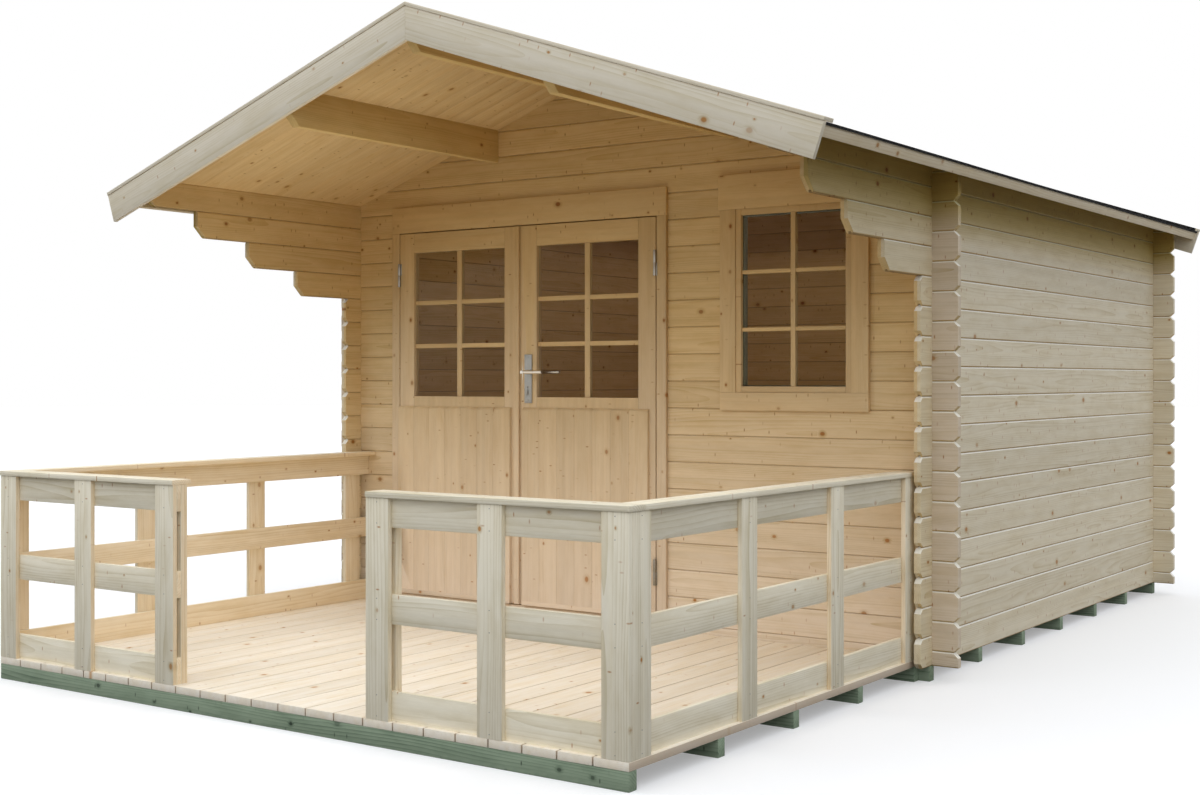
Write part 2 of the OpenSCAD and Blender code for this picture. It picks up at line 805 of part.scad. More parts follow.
// Round levers outside and inside, turned together by the spindle between them
module handle_levers() color(STEEL) stood() {
    span = leaf_t / 2 + plate_t;
    translate([handle_x, leaf_y + leaf_t / 2, lever_z]) {
        rotate([90, 0, 0]) cylinder(r = spindle_r, h = 2 * (span + lever_reach), center = true);
        for (way = [0, 180]) rotate([way, 0, 0]) {
            translate([0, span + spindle_play, 0]) rotate([-90, 0, 0])
                cylinder(r = lever_r, h = lever_reach + lever_r - spindle_play);
            translate([0, span + lever_reach, 0]) rotate([0, 90, 0]) cylinder(r = lever_r, h = lever_l);
        }
    }
}

module front_railing_uprights() color(PALE_SPRUCE) stood() {
    inner_y = front_rail_y + 2 * rail_t;
    gate_x = deck_x - front_rail_l;
    front_uprights(-deck_x);
    front_uprights(gate_x);
    for (x = [-gate_x - upright_w, gate_x])
        block([x, inner_y, rail_z0], [x + upright_w, inner_y + gate_upright_t, rail_z1]);
}

module front_railing_rails() color(PALE_SPRUCE) stood() {
    y = front_rail_y + rail_t;
    gate_x = deck_x - front_rail_l;
    for (low = rail_lows()) {
        block([-deck_x + rail_t, y, low], [-gate_x, y + rail_t, low + rail_h]);
        block([gate_x, y, low], [deck_x - rail_t, y + rail_t, low + rail_h]);
    }
}

module front_railing_caps() color(PALE_SPRUCE) stood() {
    y = front_rail_y - rail_cap_proud;
    end = deck_x + rail_cap_proud;
    gate_x = deck_x - front_rail_l;
    block([-end, y, rail_z1], [-gate_x, y + rail_cap_w, rail_z1 + rail_cap_t]);
    block([gate_x, y, rail_z1], [end, y + rail_cap_w, rail_z1 + rail_cap_t]);
}

module side_railing_uprights() color(PALE_SPRUCE) stood() {
    for (x = [-deck_x, deck_x - rail_t], i = [0 : side_upright_count - 1])
        block([x, corner_upright_y + i * side_pitch, rail_z0],
              [x + rail_t, corner_upright_y + i * side_pitch + upright_w, rail_z1]);
}

module side_railing_rails() color(PALE_SPRUCE) stood() {
    y = corner_upright_y + rail_t;
    for (x = [rail_t - deck_x, deck_x - 2 * rail_t], low = rail_lows())
        block([x, y, low], [x + rail_t, -log_play, low + rail_h]);
}

module side_railing_caps() color(PALE_SPRUCE) stood() {
    y = front_rail_y - rail_cap_proud + rail_cap_w;
    end = deck_x + rail_cap_proud;
    for (x = [-end, end - rail_cap_w])
        block([x, y, rail_z1], [x + rail_cap_w, -log_play, rail_z1 + rail_cap_t]);
}

house_bearers();
terrace_bearers();
house_floor();
terrace_deck();
left_wall();
right_wall();
back_wall();
back_gable();
front_sill_log();
front_wall_left();
front_wall_right();
front_wall_over_door();
front_gable();
ridge_purlin();
side_purlins();
left_roof_boards();
right_roof_boards();
left_roof_felt();
right_roof_felt();
front_bargeboards();
back_bargeboards();
bargeboard_caps();
eave_fascias();
door_frame();
door_stops();
door_casing();
door_frame_hinges();
window_frame();
window_sash();
window_casing();
window_glass();
left_door_leaf();
left_door_panel();
left_door_glass();
left_door_strip();
left_door_hinges();
right_door_leaf();
right_door_panel();
right_door_glass();
right_door_hinges();
handle_plate();
inner_handle_plate();
handle_levers();
front_railing_uprights();
front_railing_rails();
front_railing_caps();
side_railing_uprights();
side_railing_rails();
side_railing_caps();
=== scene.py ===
import math
import random

import bpy
import numpy as np
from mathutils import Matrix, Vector


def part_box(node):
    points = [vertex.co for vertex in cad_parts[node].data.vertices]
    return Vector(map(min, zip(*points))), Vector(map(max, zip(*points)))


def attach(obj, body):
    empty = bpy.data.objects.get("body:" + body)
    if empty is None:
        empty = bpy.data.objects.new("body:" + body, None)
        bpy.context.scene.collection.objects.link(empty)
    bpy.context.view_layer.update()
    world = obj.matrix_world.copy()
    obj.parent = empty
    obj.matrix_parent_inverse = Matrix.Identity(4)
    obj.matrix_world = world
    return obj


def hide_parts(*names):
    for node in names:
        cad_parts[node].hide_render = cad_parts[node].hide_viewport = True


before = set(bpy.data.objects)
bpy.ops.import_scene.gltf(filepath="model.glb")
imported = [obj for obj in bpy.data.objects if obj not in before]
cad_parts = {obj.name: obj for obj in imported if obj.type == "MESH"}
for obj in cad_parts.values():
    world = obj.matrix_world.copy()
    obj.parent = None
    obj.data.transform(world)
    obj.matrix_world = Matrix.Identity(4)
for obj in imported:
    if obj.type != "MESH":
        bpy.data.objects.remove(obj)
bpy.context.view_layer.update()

# Bearers
# Twelve sawn softwood beams, pressure treated with green copper salts. Seven lie on the ground under the
# house and five under the terrace, and the logs and deck boards are laid across them.

bearer_arris = 0.0025
smooth_under = 32

# Where the roof keeps sun and rain off the wood, and where its covered colour also paints the shade under the
# eaves and the porch roof: metres below the wall tops, off the walls and up the porch. Then how much of its
# first colour the wood keeps there
eave_foot = 0.32
eave_head = 0.15
eave_reach = 0.15
open_rim = 0.01
end_rim = 0.03
porch_head = 1.4
porch_foot = 0.1
end_cover = 0.2
back_eave = 0.3
under_cover = 0.9


def linear(code):
    """Linear colour of an sRGB hex value"""
    shares = [int(code[i:i + 2], 16) / 255 for i in (0, 2, 4)]
    return [*(s / 12.92 if s <= 0.04045 else ((s + 0.055) / 1.055) ** 2.4 for s in shares), 1.0]


def add_node(tree, kind, inputs=None, **settings):
    """Adds a shader node with its settings; an input is a value, or the socket that is linked to it"""
    node = tree.nodes.new("ShaderNode" + kind)
    for name, value in settings.items():
        setattr(node, name, value)
    for socket, value in (inputs or {}).items():
        if isinstance(value, bpy.types.NodeSocket):
            tree.links.new(value, node.inputs[socket])
        else:
            node.inputs[socket].default_value = value
    return node


def new_material(name):
    """A new material, its node tree and its shader"""
    material = bpy.data.materials.new(name)
    material.use_nodes = True
    return material, material.node_tree, material.node_tree.nodes["Principled BSDF"]


def timber(name, early, late, knot, rough, ring=0.0045, ring_share=0.8, knot_gap=0.13, knot_share=0.3,
           pin_share=0.16, tones=(0.94, 1.05), joint_shade=0.0, painted_highlight=0.0, figure=0.35, bump=0.3):
    """Softwood cut from round logs: growth rings about a pith, streaks along the grain, and knots.
    early, late and knot are the colours of pale wood, dark wood and knots, in the open and under cover."""
    small_knot, large_knot = 0.0028, 0.009
    pin_size, pin_gap = 0.0044, 0.042
    board_shift, wander_by, swell_by = 29.0, 0.05, 0.006
    # The white of the painted highlight on faces that look up in the open, and the tint of the painted shade
    # under the eaves
    highlight_white, eave_shade_tint = "FAF6EA", "D5D3A8"

    # How far knots and pin marks are squeezed along and across the grain, and waves to the metre both ways
    knot_oval, pin_drawn = (0.75, 1.0, 1.0), (1.5, 0.55, 1.0)
    wander_waves, streak_waves = (0.8, 7.0, 7.0), (0.9, 42.0, 42.0)
    blotch_waves, fibre_waves = (5.0, 22.0, 22.0), (9.0, 480.0, 480.0)
    material, tree, shader = new_material(name)
    grain = add_node(tree, "Attribute", attribute_name="grain").outputs["Vector"]
    tone, cover, joint, film = (add_node(tree, "Attribute", attribute_name=mark).outputs["Fac"]
                                for mark in ("tone", "cover", "joint", "film"))
    shift = add_node(tree, "Math", {0: tone, 1: board_shift}, operation="MULTIPLY").outputs[0]
    place = add_node(tree, "VectorMath", {0: grain, 1: shift}, operation="ADD").outputs[0]
    oval, drawn_out, streak_at, blotch_at, fibre_at = (
        add_node(tree, "VectorMath", {0: place, 1: waves}, operation="MULTIPLY").outputs[0]
        for waves in (knot_oval, pin_drawn, streak_waves, blotch_waves, fibre_waves))

    # Knots: some cells of a lattice over the board's face hold one, of a size drawn for that cell
    cells = add_node(tree, "TexVoronoi", {"Vector": oval, "Scale": 1 / knot_gap,
                     "Randomness": 0.95}, voronoi_dimensions="2D")
    lot = add_node(tree, "SeparateColor", {0: cells.outputs["Color"]}).outputs
    size = add_node(tree, "Math", {0: lot[1], 1: 2.0}, operation="POWER").outputs[0]
    size = add_node(tree, "MapRange", {"Value": size, "To Min": small_knot / knot_gap,
                    "To Max": large_knot / knot_gap}).outputs[0]
    away = add_node(tree, "Math", {0: cells.outputs["Distance"], 1: size}, operation="DIVIDE").outputs[0]
    held = add_node(tree, "Math", {0: lot[0], 1: 1 - knot_share}, operation="GREATER_THAN").outputs[0]
    depth = add_node(tree, "MapRange", {"Value": lot[2], "To Min": 0.35}).outputs[0]
    depth = add_node(tree, "Math", {0: depth, 1: held}, operation="MULTIPLY").outputs[0]
    core = add_node(tree, "MapRange", {"Value": away, "From Min": 0.7, "From Max": 1.35,
                    "To Min": 1.0, "To Max": 0.0}, interpolation_type="SMOOTHSTEP").outputs[0]
    core = add_node(tree, "Math", {0: core, 1: depth}, operation="MULTIPLY").outputs[0]
    halo = add_node(tree, "MapRange", {"Value": away, "From Min": 0.8, "From Max": 3.0,
                    "To Min": 1.0, "To Max": 0.0}, interpolation_type="SMOOTHSTEP").outputs[0]
    halo = add_node(tree, "Math", {0: halo, 1: depth}, operation="MULTIPLY").outputs[0]

    # Pin marks: thin branches cut along their length, drawn out across the grain
    cells = add_node(tree, "TexVoronoi", {"Vector": drawn_out, "Scale": 1 / pin_gap,
                     "Randomness": 1.0}, voronoi_dimensions="2D")
    lot = add_node(tree, "SeparateColor", {0: cells.outputs["Color"]}).outputs
    held = add_node(tree, "Math", {0: lot[0], 1: 1 - pin_share}, operation="GREATER_THAN").outputs[0]
    away = add_node(tree, "Math", {0: cells.outputs["Distance"], 1: pin_gap / pin_size},
                    operation="MULTIPLY").outputs[0]
    pin = add_node(tree, "MapRange", {"Value": away, "From Min": 0.3, "From Max": 1.3,
                   "To Min": 0.9, "To Max": 0.0}, interpolation_type="SMOOTHSTEP").outputs[0]
    pin = add_node(tree, "Math", {0: pin, 1: held}, operation="MULTIPLY").outputs[0]
    pin = add_node(tree, "Math", {0: pin, 1: lot[1]}, operation="MULTIPLY").outputs[0]

    # Rings: the distance from the pith, which wanders along the log and swells round a knot
    wander_at = add_node(tree, "VectorMath", {0: grain, 1: wander_waves}, operation="MULTIPLY").outputs[0]
    wander = add_node(tree, "TexNoise", {"Vector": wander_at, "Scale": 1.0, "Detail": 2.0}).outputs["Fac"]
    wander = add_node(tree, "Math", {0: wander, 1: wander_by}, operation="MULTIPLY").outputs[0]
    wander = add_node(tree, "Math", {0: halo, 1: swell_by, 2: wander}, operation="MULTIPLY_ADD").outputs[0]
    section = add_node(tree, "VectorMath", {0: grain, 1: (0.0, 1.0, 1.0)}, operation="MULTIPLY").outputs[0]
    radius = add_node(tree, "VectorMath", {0: section}, operation="LENGTH").outputs["Value"]
    radius = add_node(tree, "Math", {0: radius, 1: wander}, operation="ADD").outputs[0]
    season = add_node(tree, "Math", {0: radius, 1: ring}, operation="DIVIDE").outputs[0]
    season = add_node(tree, "Math", {0: season}, operation="FRACT").outputs[0]
    season = add_node(tree, "Math", {0: season, 1: 2.5}, operation="POWER").outputs[0]

    # Streaks, blotches and fibres, drawn out along the grain
    streak = add_node(tree, "TexNoise", {"Vector": streak_at, "Scale": 1.0, "Detail": 4.0,
                      "Roughness": 0.6}).outputs["Fac"]
    blotch = add_node(tree, "TexNoise", {"Vector": blotch_at, "Scale": 1.0, "Detail": 4.0,
                      "Roughness": 0.65}).outputs["Fac"]
    blotch = add_node(tree, "MapRange", {"Value": blotch, "From Min": 0.4, "From Max": 0.68,
                      "To Max": figure}).outputs[0]
    fibre = add_node(tree, "TexNoise", {"Vector": fibre_at, "Scale": 1.0, "Detail": 2.0}).outputs["Fac"]

    # Colour: each board has its own tone, and wood under cover keeps more of its first colour, darker and
    # warmer, which also paints the shade there. Joints hold dirt, faces that look up in the open get a
    # painted highlight, and painted shade darkens the wood under the eaves
    pale = add_node(tree, "Mix", {0: cover, 6: linear(early[0]), 7: linear(early[1])},
                    data_type="RGBA").outputs[2]
    dark = add_node(tree, "Mix", {0: cover, 6: linear(late[0]), 7: linear(late[1])},
                    data_type="RGBA").outputs[2]
    share = add_node(tree, "MapRange", {"Value": streak, "From Min": 0.35, "From Max": 0.7,
                     "To Min": 0.15 * ring_share, "To Max": ring_share}).outputs[0]
    share = add_node(tree, "Math", {0: share, 1: season, 2: blotch}, operation="MULTIPLY_ADD").outputs[0]
    share = add_node(tree, "Math", {0: halo, 1: 0.55, 2: share}, operation="MULTIPLY_ADD",
                     use_clamp=True).outputs[0]
    wood = add_node(tree, "Mix", {0: share, 6: pale, 7: dark}, data_type="RGBA").outputs[2]
    light = add_node(tree, "MapRange", {"Value": tone, "To Min": tones[0], "To Max": tones[1]}).outputs[0]
    fade = add_node(tree, "MapRange", {"Value": streak, "From Min": 0.25, "From Max": 0.75,
                    "To Min": 1.04, "To Max": 0.95}).outputs[0]
    light = add_node(tree, "Math", {0: light, 1: fade}, operation="MULTIPLY").outputs[0]
    wood = add_node(tree, "HueSaturation", {"Color": wood, "Value": light}).outputs[0]
    brown = add_node(tree, "Mix", {0: cover, 6: linear(knot[0]), 7: linear(knot[1])},
                     data_type="RGBA").outputs[2]
    stain = add_node(tree, "Math", {0: halo, 1: halo}, operation="MULTIPLY").outputs[0]
    stain = add_node(tree, "Math", {0: stain, 1: 0.3}, operation="MULTIPLY").outputs[0]
    wood = add_node(tree, "Mix", {0: stain, 6: wood, 7: brown}, data_type="RGBA").outputs[2]
    wood = add_node(tree, "Mix", {0: core, 6: wood, 7: brown}, data_type="RGBA").outputs[2]
    wood = add_node(tree, "Mix", {0: pin, 6: wood, 7: brown}, data_type="RGBA").outputs[2]
    grime = add_node(tree, "Math", {0: joint, 1: joint_shade}, operation="MULTIPLY").outputs[0]
    dirt = add_node(tree, "HueSaturation", {"Color": brown, "Value": 0.5}).outputs[0]
    wood = add_node(tree, "Mix", {0: grime, 6: wood, 7: dirt}, data_type="RGBA").outputs[2]
    # Painted highlight: faces that look up in the open, marked -1, are mixed towards white
    highlight = add_node(tree, "Math", {0: joint, 1: -painted_highlight}, operation="MULTIPLY").outputs[0]
    wood = add_node(tree, "Mix", {0: highlight, 6: wood, 7: linear(highlight_white)}, data_type="RGBA").outputs[2]
    # Painted shade under the eaves: the wood is multiplied by a dull olive tint there
    wood = add_node(tree, "Mix", {0: film, 6: wood, 7: linear(eave_shade_tint)}, data_type="RGBA",
                    blend_type="MULTIPLY").outputs[2]
    tree.links.new(wood, shader.inputs["Base Color"])

    # Sheen and relief: dark wood stands a little proud and shines a little more
    gloss = add_node(tree, "MapRange", {"Value": streak, "To Min": rough + 0.08,
                     "To Max": rough - 0.08}).outputs[0]
    tree.links.new(gloss, shader.inputs["Roughness"])
    height = add_node(tree, "Math", {0: season, 1: 0.5, 2: fibre}, operation="MULTIPLY_ADD").outputs[0]
    relief = add_node(tree, "Bump", {"Height": height, "Strength": bump, "Distance": 0.0006})
    tree.links.new(relief.outputs[0], shader.inputs["Normal"])
    shader.inputs["Specular IOR Level"].default_value = 0.25
    return material


def pick(*pieces):
    """Selects pieces and nothing else, and makes the first of them active"""
    bpy.ops.object.select_all(action="DESELECT")
    for piece in pieces:
        piece.select_set(True)
    bpy.context.view_layer.objects.active = pieces[0]


def eased_copy(node, name, arris, steps=2, keen=28, smooth=smooth_under):
    """A copy of a CAD node's solids, merged, with every edge that is keener than some degrees taken off"""
    merge_gap, flat_within = 0.00001, 1
    piece = bpy.data.objects.new(name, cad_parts[node].data.copy())
    bpy.context.collection.objects.link(piece)
    pick(piece)
    bpy.ops.mesh.customdata_custom_splitnormals_clear()
    bpy.ops.object.mode_set(mode="EDIT")
    bpy.ops.mesh.select_all(action="SELECT")
    bpy.ops.mesh.remove_doubles(threshold=merge_gap)
    bpy.ops.mesh.dissolve_limited(angle_limit=math.radians(flat_within))
    bpy.ops.object.mode_set(mode="OBJECT")
    ease = piece.modifiers.new("arris", "BEVEL")
    ease.width = arris
    ease.segments = steps
    ease.limit_method = "ANGLE"
    ease.angle_limit = math.radians(keen)
    ease.use_clamp_overlap = False
    bpy.ops.object.modifier_apply(modifier="arris")
    bpy.ops.object.shade_smooth_by_angle(angle=math.radians(smooth))
    return piece


def rows_of(items, field, width, kind=float):
    """One field of all the points, edges, faces or corners of a mesh, a row for each"""
    values = np.empty(len(items) * width, kind)
    items.foreach_get(field, values)
    return values.reshape(-1, width)


def loose_solids(mesh):
    """The places of a mesh's points, and the points of each loose solid in it"""
    spots = rows_of(mesh.vertices, "co", 3)
    ends = rows_of(mesh.edges, "vertices", 2, int)
    owner = np.arange(len(spots))
    settled = False
    while not settled:
        lowest = owner[ends].min(1)
        merged = owner.copy()
        np.minimum.at(merged, ends[:, 0], lowest)
        np.minimum.at(merged, ends[:, 1], lowest)
        merged = merged[merged]
        settled = bool((merged == owner).all())
        owner = merged
    return spots, [owner == first for first in np.unique(owner)]


def wall_planes():
    """Half way through the side walls, the front wall and the back wall"""
    side_in, side_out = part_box("right_wall")
    front_out, front_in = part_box("front_wall_left")
    back_in, back_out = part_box("back_wall")
    return (side_in.x + side_out.x) / 2, (front_out.y + front_in.y) / 2, (back_in.y + back_out.y) / 2


def lay_grain(piece, slope=0.0, cover=None):
    """Gives each board or log of a piece a grain along its length, with a pith and a tone of its own.
    On a roof slope the grain runs down the slope. Also marks what is recessed in a joint, and as -1 what
    faces up in the open, for a painted highlight; what is covered: all that lies inside the walls, under the
    eaves, or high up under the porch roof, a mark that also paints shade there; and where painted shade
    darkens the side walls under the eaves."""
    pith_along, pith_aside, pith_depth = 40, 0.06, (0.02, 0.08)
    joint_from, joint_full = 0.0002, 0.0008
    end_on, flat_on, upwards, downwards = 0.5, 0.97, 0.3, -0.5
    mesh = piece.data
    spots, parts = loose_solids(mesh)
    draw = random.Random(piece.name)
    grain = np.empty_like(spots)
    tone = np.empty(len(spots))
    recess = np.empty(len(spots))
    lengthways = np.empty_like(spots)
    facing = np.empty_like(spots)
    for mine in parts:
        middle = (spots[mine].min(0) + spots[mine].max(0)) / 2
        axes = np.eye(3)
        if slope:
            way = 1 if middle[0] > 0 else -1
            axes = np.array([[way * math.cos(slope), 0, -math.sin(slope)], [0, 1, 0],
                             [way * math.sin(slope), 0, math.cos(slope)]])
        local = (spots[mine] - middle) @ axes.T
        order = np.argsort(local.min(0) - local.max(0))
        if slope:
            order = [0, *[i for i in order if i != 0]]
        local = local[:, order]
        pith = [draw.uniform(0, pith_along), draw.uniform(-pith_aside, pith_aside),
                draw.choice((-1, 1)) * draw.uniform(*pith_depth)]
        grain[mine] = local + pith
        tone[mine] = draw.random()
        recess[mine] = np.abs(local[:, 2]).max() - np.abs(local[:, 2])
        lengthways[mine] = axes[order[0]]
        facing[mine] = axes[order[2]]
    counts = rows_of(mesh.polygons, "loop_total", 1, int)[:, 0]
    centre = np.repeat(rows_of(mesh.polygons, "center", 3), counts, 0)
    normal = np.repeat(rows_of(mesh.polygons, "normal", 3), counts, 0)
    corner = rows_of(mesh.loops, "vertex_index", 1, int)[:, 0]
    end_face = np.abs((normal * lengthways[corner]).sum(1)) > end_on
    broad_face = np.abs((normal * facing[corner]).sum(1)) > flat_on
    joint = np.clip((recess[corner] - joint_from) / (joint_full - joint_from), 0, 1)
    joint = joint * ~(end_face | broad_face)
    side, front, back = wall_planes()
    x, y = np.abs(centre[:, 0]), centre[:, 1]
    lies_open = (x > side - open_rim) | (y > back - open_rim)
    # Faces that look up in the open get -1, for a painted highlight; faces that look up elsewhere get no
    # joint dirt
    joint = np.where((normal[:, 2] > upwards) & ~broad_face, -1.0 * lies_open, joint)
    height = spots[corner][:, 2]
    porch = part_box("front_bargeboards")[1].y
    under_roof = (y > porch) & (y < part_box("back_bargeboards")[0].y)
    by_wall = under_roof & (x < side + eave_reach)
    # Under the eaves the covered colour grows towards the wall tops, partly weathering and partly painted
    # shade, and the front ends of the side walls get some of it
    eave = np.clip((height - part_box("right_wall")[1].z + eave_foot) / (eave_foot - eave_head), 0, 1)
    front_end = (x > side) & (y < front + end_rim)
    shelter_and_shade = np.where(by_wall, np.maximum(eave, end_cover * front_end), 0.0)
    shelter_and_shade = shelter_and_shade * np.where(y > back, back_eave, 1.0)
    # Painted shade on the outside of the side walls, growing smoothly towards the eaves
    film = shelter_and_shade ** 2 * (3 - 2 * shelter_and_shade) * (x > side)
    # Faces that look down under the roof get the covered colour, which also paints their shade
    shelter_and_shade = np.where(under_roof & (normal[:, 2] < downwards), under_cover, shelter_and_shade)
    # Under the porch roof the covered colour grows with height, partly weathering and partly painted shade
    # towards the roof
    roofed = (x < side) & (y > porch) & (y < back)
    shelter_and_shade = np.where(roofed, np.clip(porch_foot + (1 - porch_foot) * height / porch_head, 0, 1), shelter_and_shade)
    shelter_and_shade = np.where(roofed & (y > front), 1.0, shelter_and_shade)
    if cover is not None:
        shelter_and_shade = cover(centre, normal)
    for title, kind, domain, field, values in (
            ("grain", "FLOAT_VECTOR", "POINT", "vector", grain), ("tone", "FLOAT", "POINT", "value", tone),
            ("joint", "FLOAT", "CORNER", "value", joint), ("cover", "FLOAT", "CORNER", "value", shelter_and_shade),
            ("film", "FLOAT", "CORNER", "value", film)):
        mesh.attributes.new(title, kind, domain).data.foreach_set(field, values.astype(np.float32).ravel())


def fit(piece, material, slot, body, *nodes):
    """Finishes a piece: its material, the body that it rides on, and the CAD nodes that it stands for"""
    piece.data.materials.clear()
    piece.data.materials.append(material)
    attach(piece, body)
    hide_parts(*nodes)


# Sawn and impregnated: dull green, darker in the late wood, with nearly black knots
green_timber = timber("copper_green_impregnated_softwood", ("9CAC92", "9CAC92"), ("5E735B", "5E735B"),
                      ("2E382C", "2E382C"), rough=0.75, ring=0.008, ring_share=1.0, knot_gap=0.075,
                      knot_share=0.4, bump=0.6)

for node in ("house_bearers", "terrace_bearers"):
    piece = eased_copy(node, node + "_sawn", bearer_arris)
    lay_grain(piece)
    fit(piece, green_timber, "green_impregnated_timber", "house", node)

# Deck and floor
# Planed spruce boards, nailed to the bearers from front to back. The deck boards stand a few millimetres
# apart so that rain runs off, and the floor boards inside are tongued and close together.

deck_boards = 23
deck_gap = 0.005
deck_arris = 0.0015
floor_boards = 33
floor_gap = 0.001
floor_arris = 0.001


def plank(name, low, high, arris, steps=2):
    """One planed board between two corners, with its arrises taken off"""
    low, high = Vector(low), Vector(high)
    bpy.ops.object.select_all(action="DESELECT")
    bpy.ops.mesh.primitive_cube_add(size=1, location=(low + high) / 2)
    piece = bpy.context.active_object
    piece.name = name
    piece.scale = high - low
    bpy.ops.object.transform_apply()
    bpy.ops.object.mode_set(mode="EDIT")
    bpy.ops.mesh.select_all(action="SELECT")
    bpy.ops.mesh.bevel(offset=arris, segments=steps, affect="EDGES")
    bpy.ops.object.mode_set(mode="OBJECT")
    bpy.ops.object.shade_smooth_by_angle(angle=math.radians(smooth_under))
    return piece


def repeat(piece, count, step):
    """A row of copies of a piece, each set off from the last by step"""
    row = piece.modifiers.new("row", "ARRAY")
    row.count = count
    row.use_relative_offset = False
    row.use_constant_offset = True
    row.constant_offset_displace = step
    bpy.context.view_layer.objects.active = piece
    bpy.ops.object.modifier_apply(modifier="row")


# Fresh planed spruce, the palest wood of the house, with small red-brown knots
pale_spruce = timber("planed_spruce_boards", ("F8EFDF", "F8EBD4"), ("EDDAB6", "EAD2A6"), ("BF874C", "AF7940"),
                     rough=0.6, knot_share=0.3, pin_share=0.1, tones=(0.94, 1.03), joint_shade=0.45)

for node, name, count, gap, arris in (
        ("terrace_deck", "terrace_deck_boards", deck_boards, deck_gap, deck_arris),
        ("house_floor", "house_floor_boards", floor_boards, floor_gap, floor_arris)):
    low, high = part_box(node)
    pitch = (high.x - low.x + gap) / count
    piece = plank(name, low, (low.x + pitch - gap, high.y, high.z), arris)
    repeat(piece, count, (pitch, 0, 0))
    lay_grain(piece)
    fit(piece, pale_spruce, "planed_spruce_boards", "house", node)

# Log walls
# Planed spruce logs with chamfered edges, laid course on course with a tongue and groove. They are notched
# into each other at the corners, and the top logs of the side walls step out as corbels under the eaves.

log_arris = 0.0008
log_keen = 50
log_smooth = 20

# Planed spruce left bare: greyer on the weather side, and honey coloured under the porch and inside, a colour
# that partly paints the shade there
log_spruce = timber("planed_spruce_logs", ("EFE3C9", "E6C992"), ("D6C299", "CFAB69"), ("B5783A", "99622D"),
                    rough=0.65, ring=0.006, knot_share=0.36, pin_share=0.3, joint_shade=0.6, painted_highlight=0.9)

# The same spruce in the front wall, under the porch roof: a little pinker and darker, partly painted porch
# shade, with fewer marks
front_spruce = timber("planed_spruce_front_logs", ("E7D9CA", "E4C68E"), ("D1BD9A", "CDA866"),
                      ("B5783A", "99622D"), rough=0.65, ring=0.006, knot_share=0.36, joint_shade=0.5,
                      painted_highlight=0.9)


def cut_across(piece, planes, **keep):
    """Cuts the faces of a piece at planes, each given by a point and a direction"""
    pick(piece)
    bpy.ops.object.mode_set(mode="EDIT")
    for spot, way in planes:
        bpy.ops.mesh.select_all(action="SELECT")
        bpy.ops.mesh.bisect(plane_co=spot, plane_no=way, **keep)
    bpy.ops.object.mode_set(mode="OBJECT")


def cut_at_walls(piece):
    """Cuts a piece's faces where it passes through a wall, so that inside and outside differ in colour"""
    side, front, back = wall_planes()
    cut_across(piece, (((side, 0, 0), (1, 0, 0)), ((-side, 0, 0), (1, 0, 0)), ((0, front, 0), (0, 1, 0)),
                       ((0, back, 0), (0, 1, 0))))


for node in ("left_wall", "right_wall", "back_wall", "back_gable", "front_sill_log", "front_wall_left",
             "front_wall_right", "front_wall_over_door", "front_gable"):
    piece = eased_copy(node, node + "_logs", log_arris, steps=1, keen=log_keen, smooth=log_smooth)
    cut_at_walls(piece)
    lay_grain(piece)
    fit(piece, front_spruce if node.startswith("front") else log_spruce, "planed_spruce", "house", node)

# Purlins
# Three spruce beams let into the gables. They carry the roof boards from the front bargeboards to the back
# ones, and their ends are chamfered underneath like the corbels.

purlin_arris = 0.002

# Spruce beams that have darkened in the dry, a strong honey colour
beam_spruce = timber("planed_spruce_beams", ("DDCB9F", "D5B77B"), ("C8B27C", "C09C58"), ("A56C34", "8E5A29"),
                     rough=0.65, ring=0.006, knot_share=0.34)


def planed(node, arris, material, body="house", slope=0.0, cover=None, in_walls=False):
    """Planed wood in the place of a CAD node, with its edges eased and its grain laid"""
    piece = eased_copy(node, node + "_planed", arris)
    if in_walls:
        cut_at_walls(piece)
    lay_grain(piece, slope, cover)
    fit(piece, material, "planed_spruce", body, node)
    return piece


for node in ("ridge_purlin", "side_purlins"):
    planed(node, purlin_arris, beam_spruce, in_walls=True)

# Roof boards
# Tongued spruce boards, nailed across the purlins from the ridge down to the eaves, so that their
# undersides are the ceiling of the porch and of the room.

roof_pitch = math.radians(18.9)
roof_board_count = 46
roof_joint = 0.0008
roof_board_arris = 0.0005

# The same spruce in a board quality, with more and larger knots
roof_spruce = timber("planed_spruce_roof_boards", ("DCC9A2", "E7C993"), ("C8AC78", "D4AC6B"),
                     ("A06A34", "9C652D"), rough=0.65, ring_share=0.6, knot_gap=0.1, knot_share=0.42,
                     tones=(0.97, 1.02), joint_shade=0.12)

for side, node in ((1, "right_roof_boards"), (-1, "left_roof_boards")):
    low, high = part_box(node)
    eave = high.x if side > 0 else -low.x
    roof_t = (high.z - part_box("ridge_purlin")[1].z) * math.cos(roof_pitch)
    length = (eave - roof_t * math.sin(roof_pitch)) / math.cos(roof_pitch)
    pitch = (high.y - low.y + roof_joint) / roof_board_count
    ends = sorted((-side * roof_t, side * length))
    piece = plank(node + "_tongued", (ends[0], low.y, 0), (ends[1], low.y + pitch - roof_joint, roof_t),
                  roof_board_arris, steps=1)
    piece.rotation_euler = (0, side * roof_pitch, 0)
    piece.location = (0, 0, high.z - roof_t / math.cos(roof_pitch))
    bpy.ops.object.transform_apply()
    repeat(piece, roof_board_count, (0, pitch, 0))
    cut_across(piece, [((0, 0, 0), (side, 0, 0))], use_fill=True, clear_inner=True)
    cut_at_walls(piece)
    lay_grain(piece, roof_pitch)
    fit(piece, roof_spruce, "planed_spruce", "house", node)

# Bargeboards and fascias
# Planed spruce boards that close the ends and the eaves of the roof. A narrow strip is nailed along the top
# of each bargeboard, over the edge of the felt.

board_arris = 0.0015
fascia_cover = 0.5

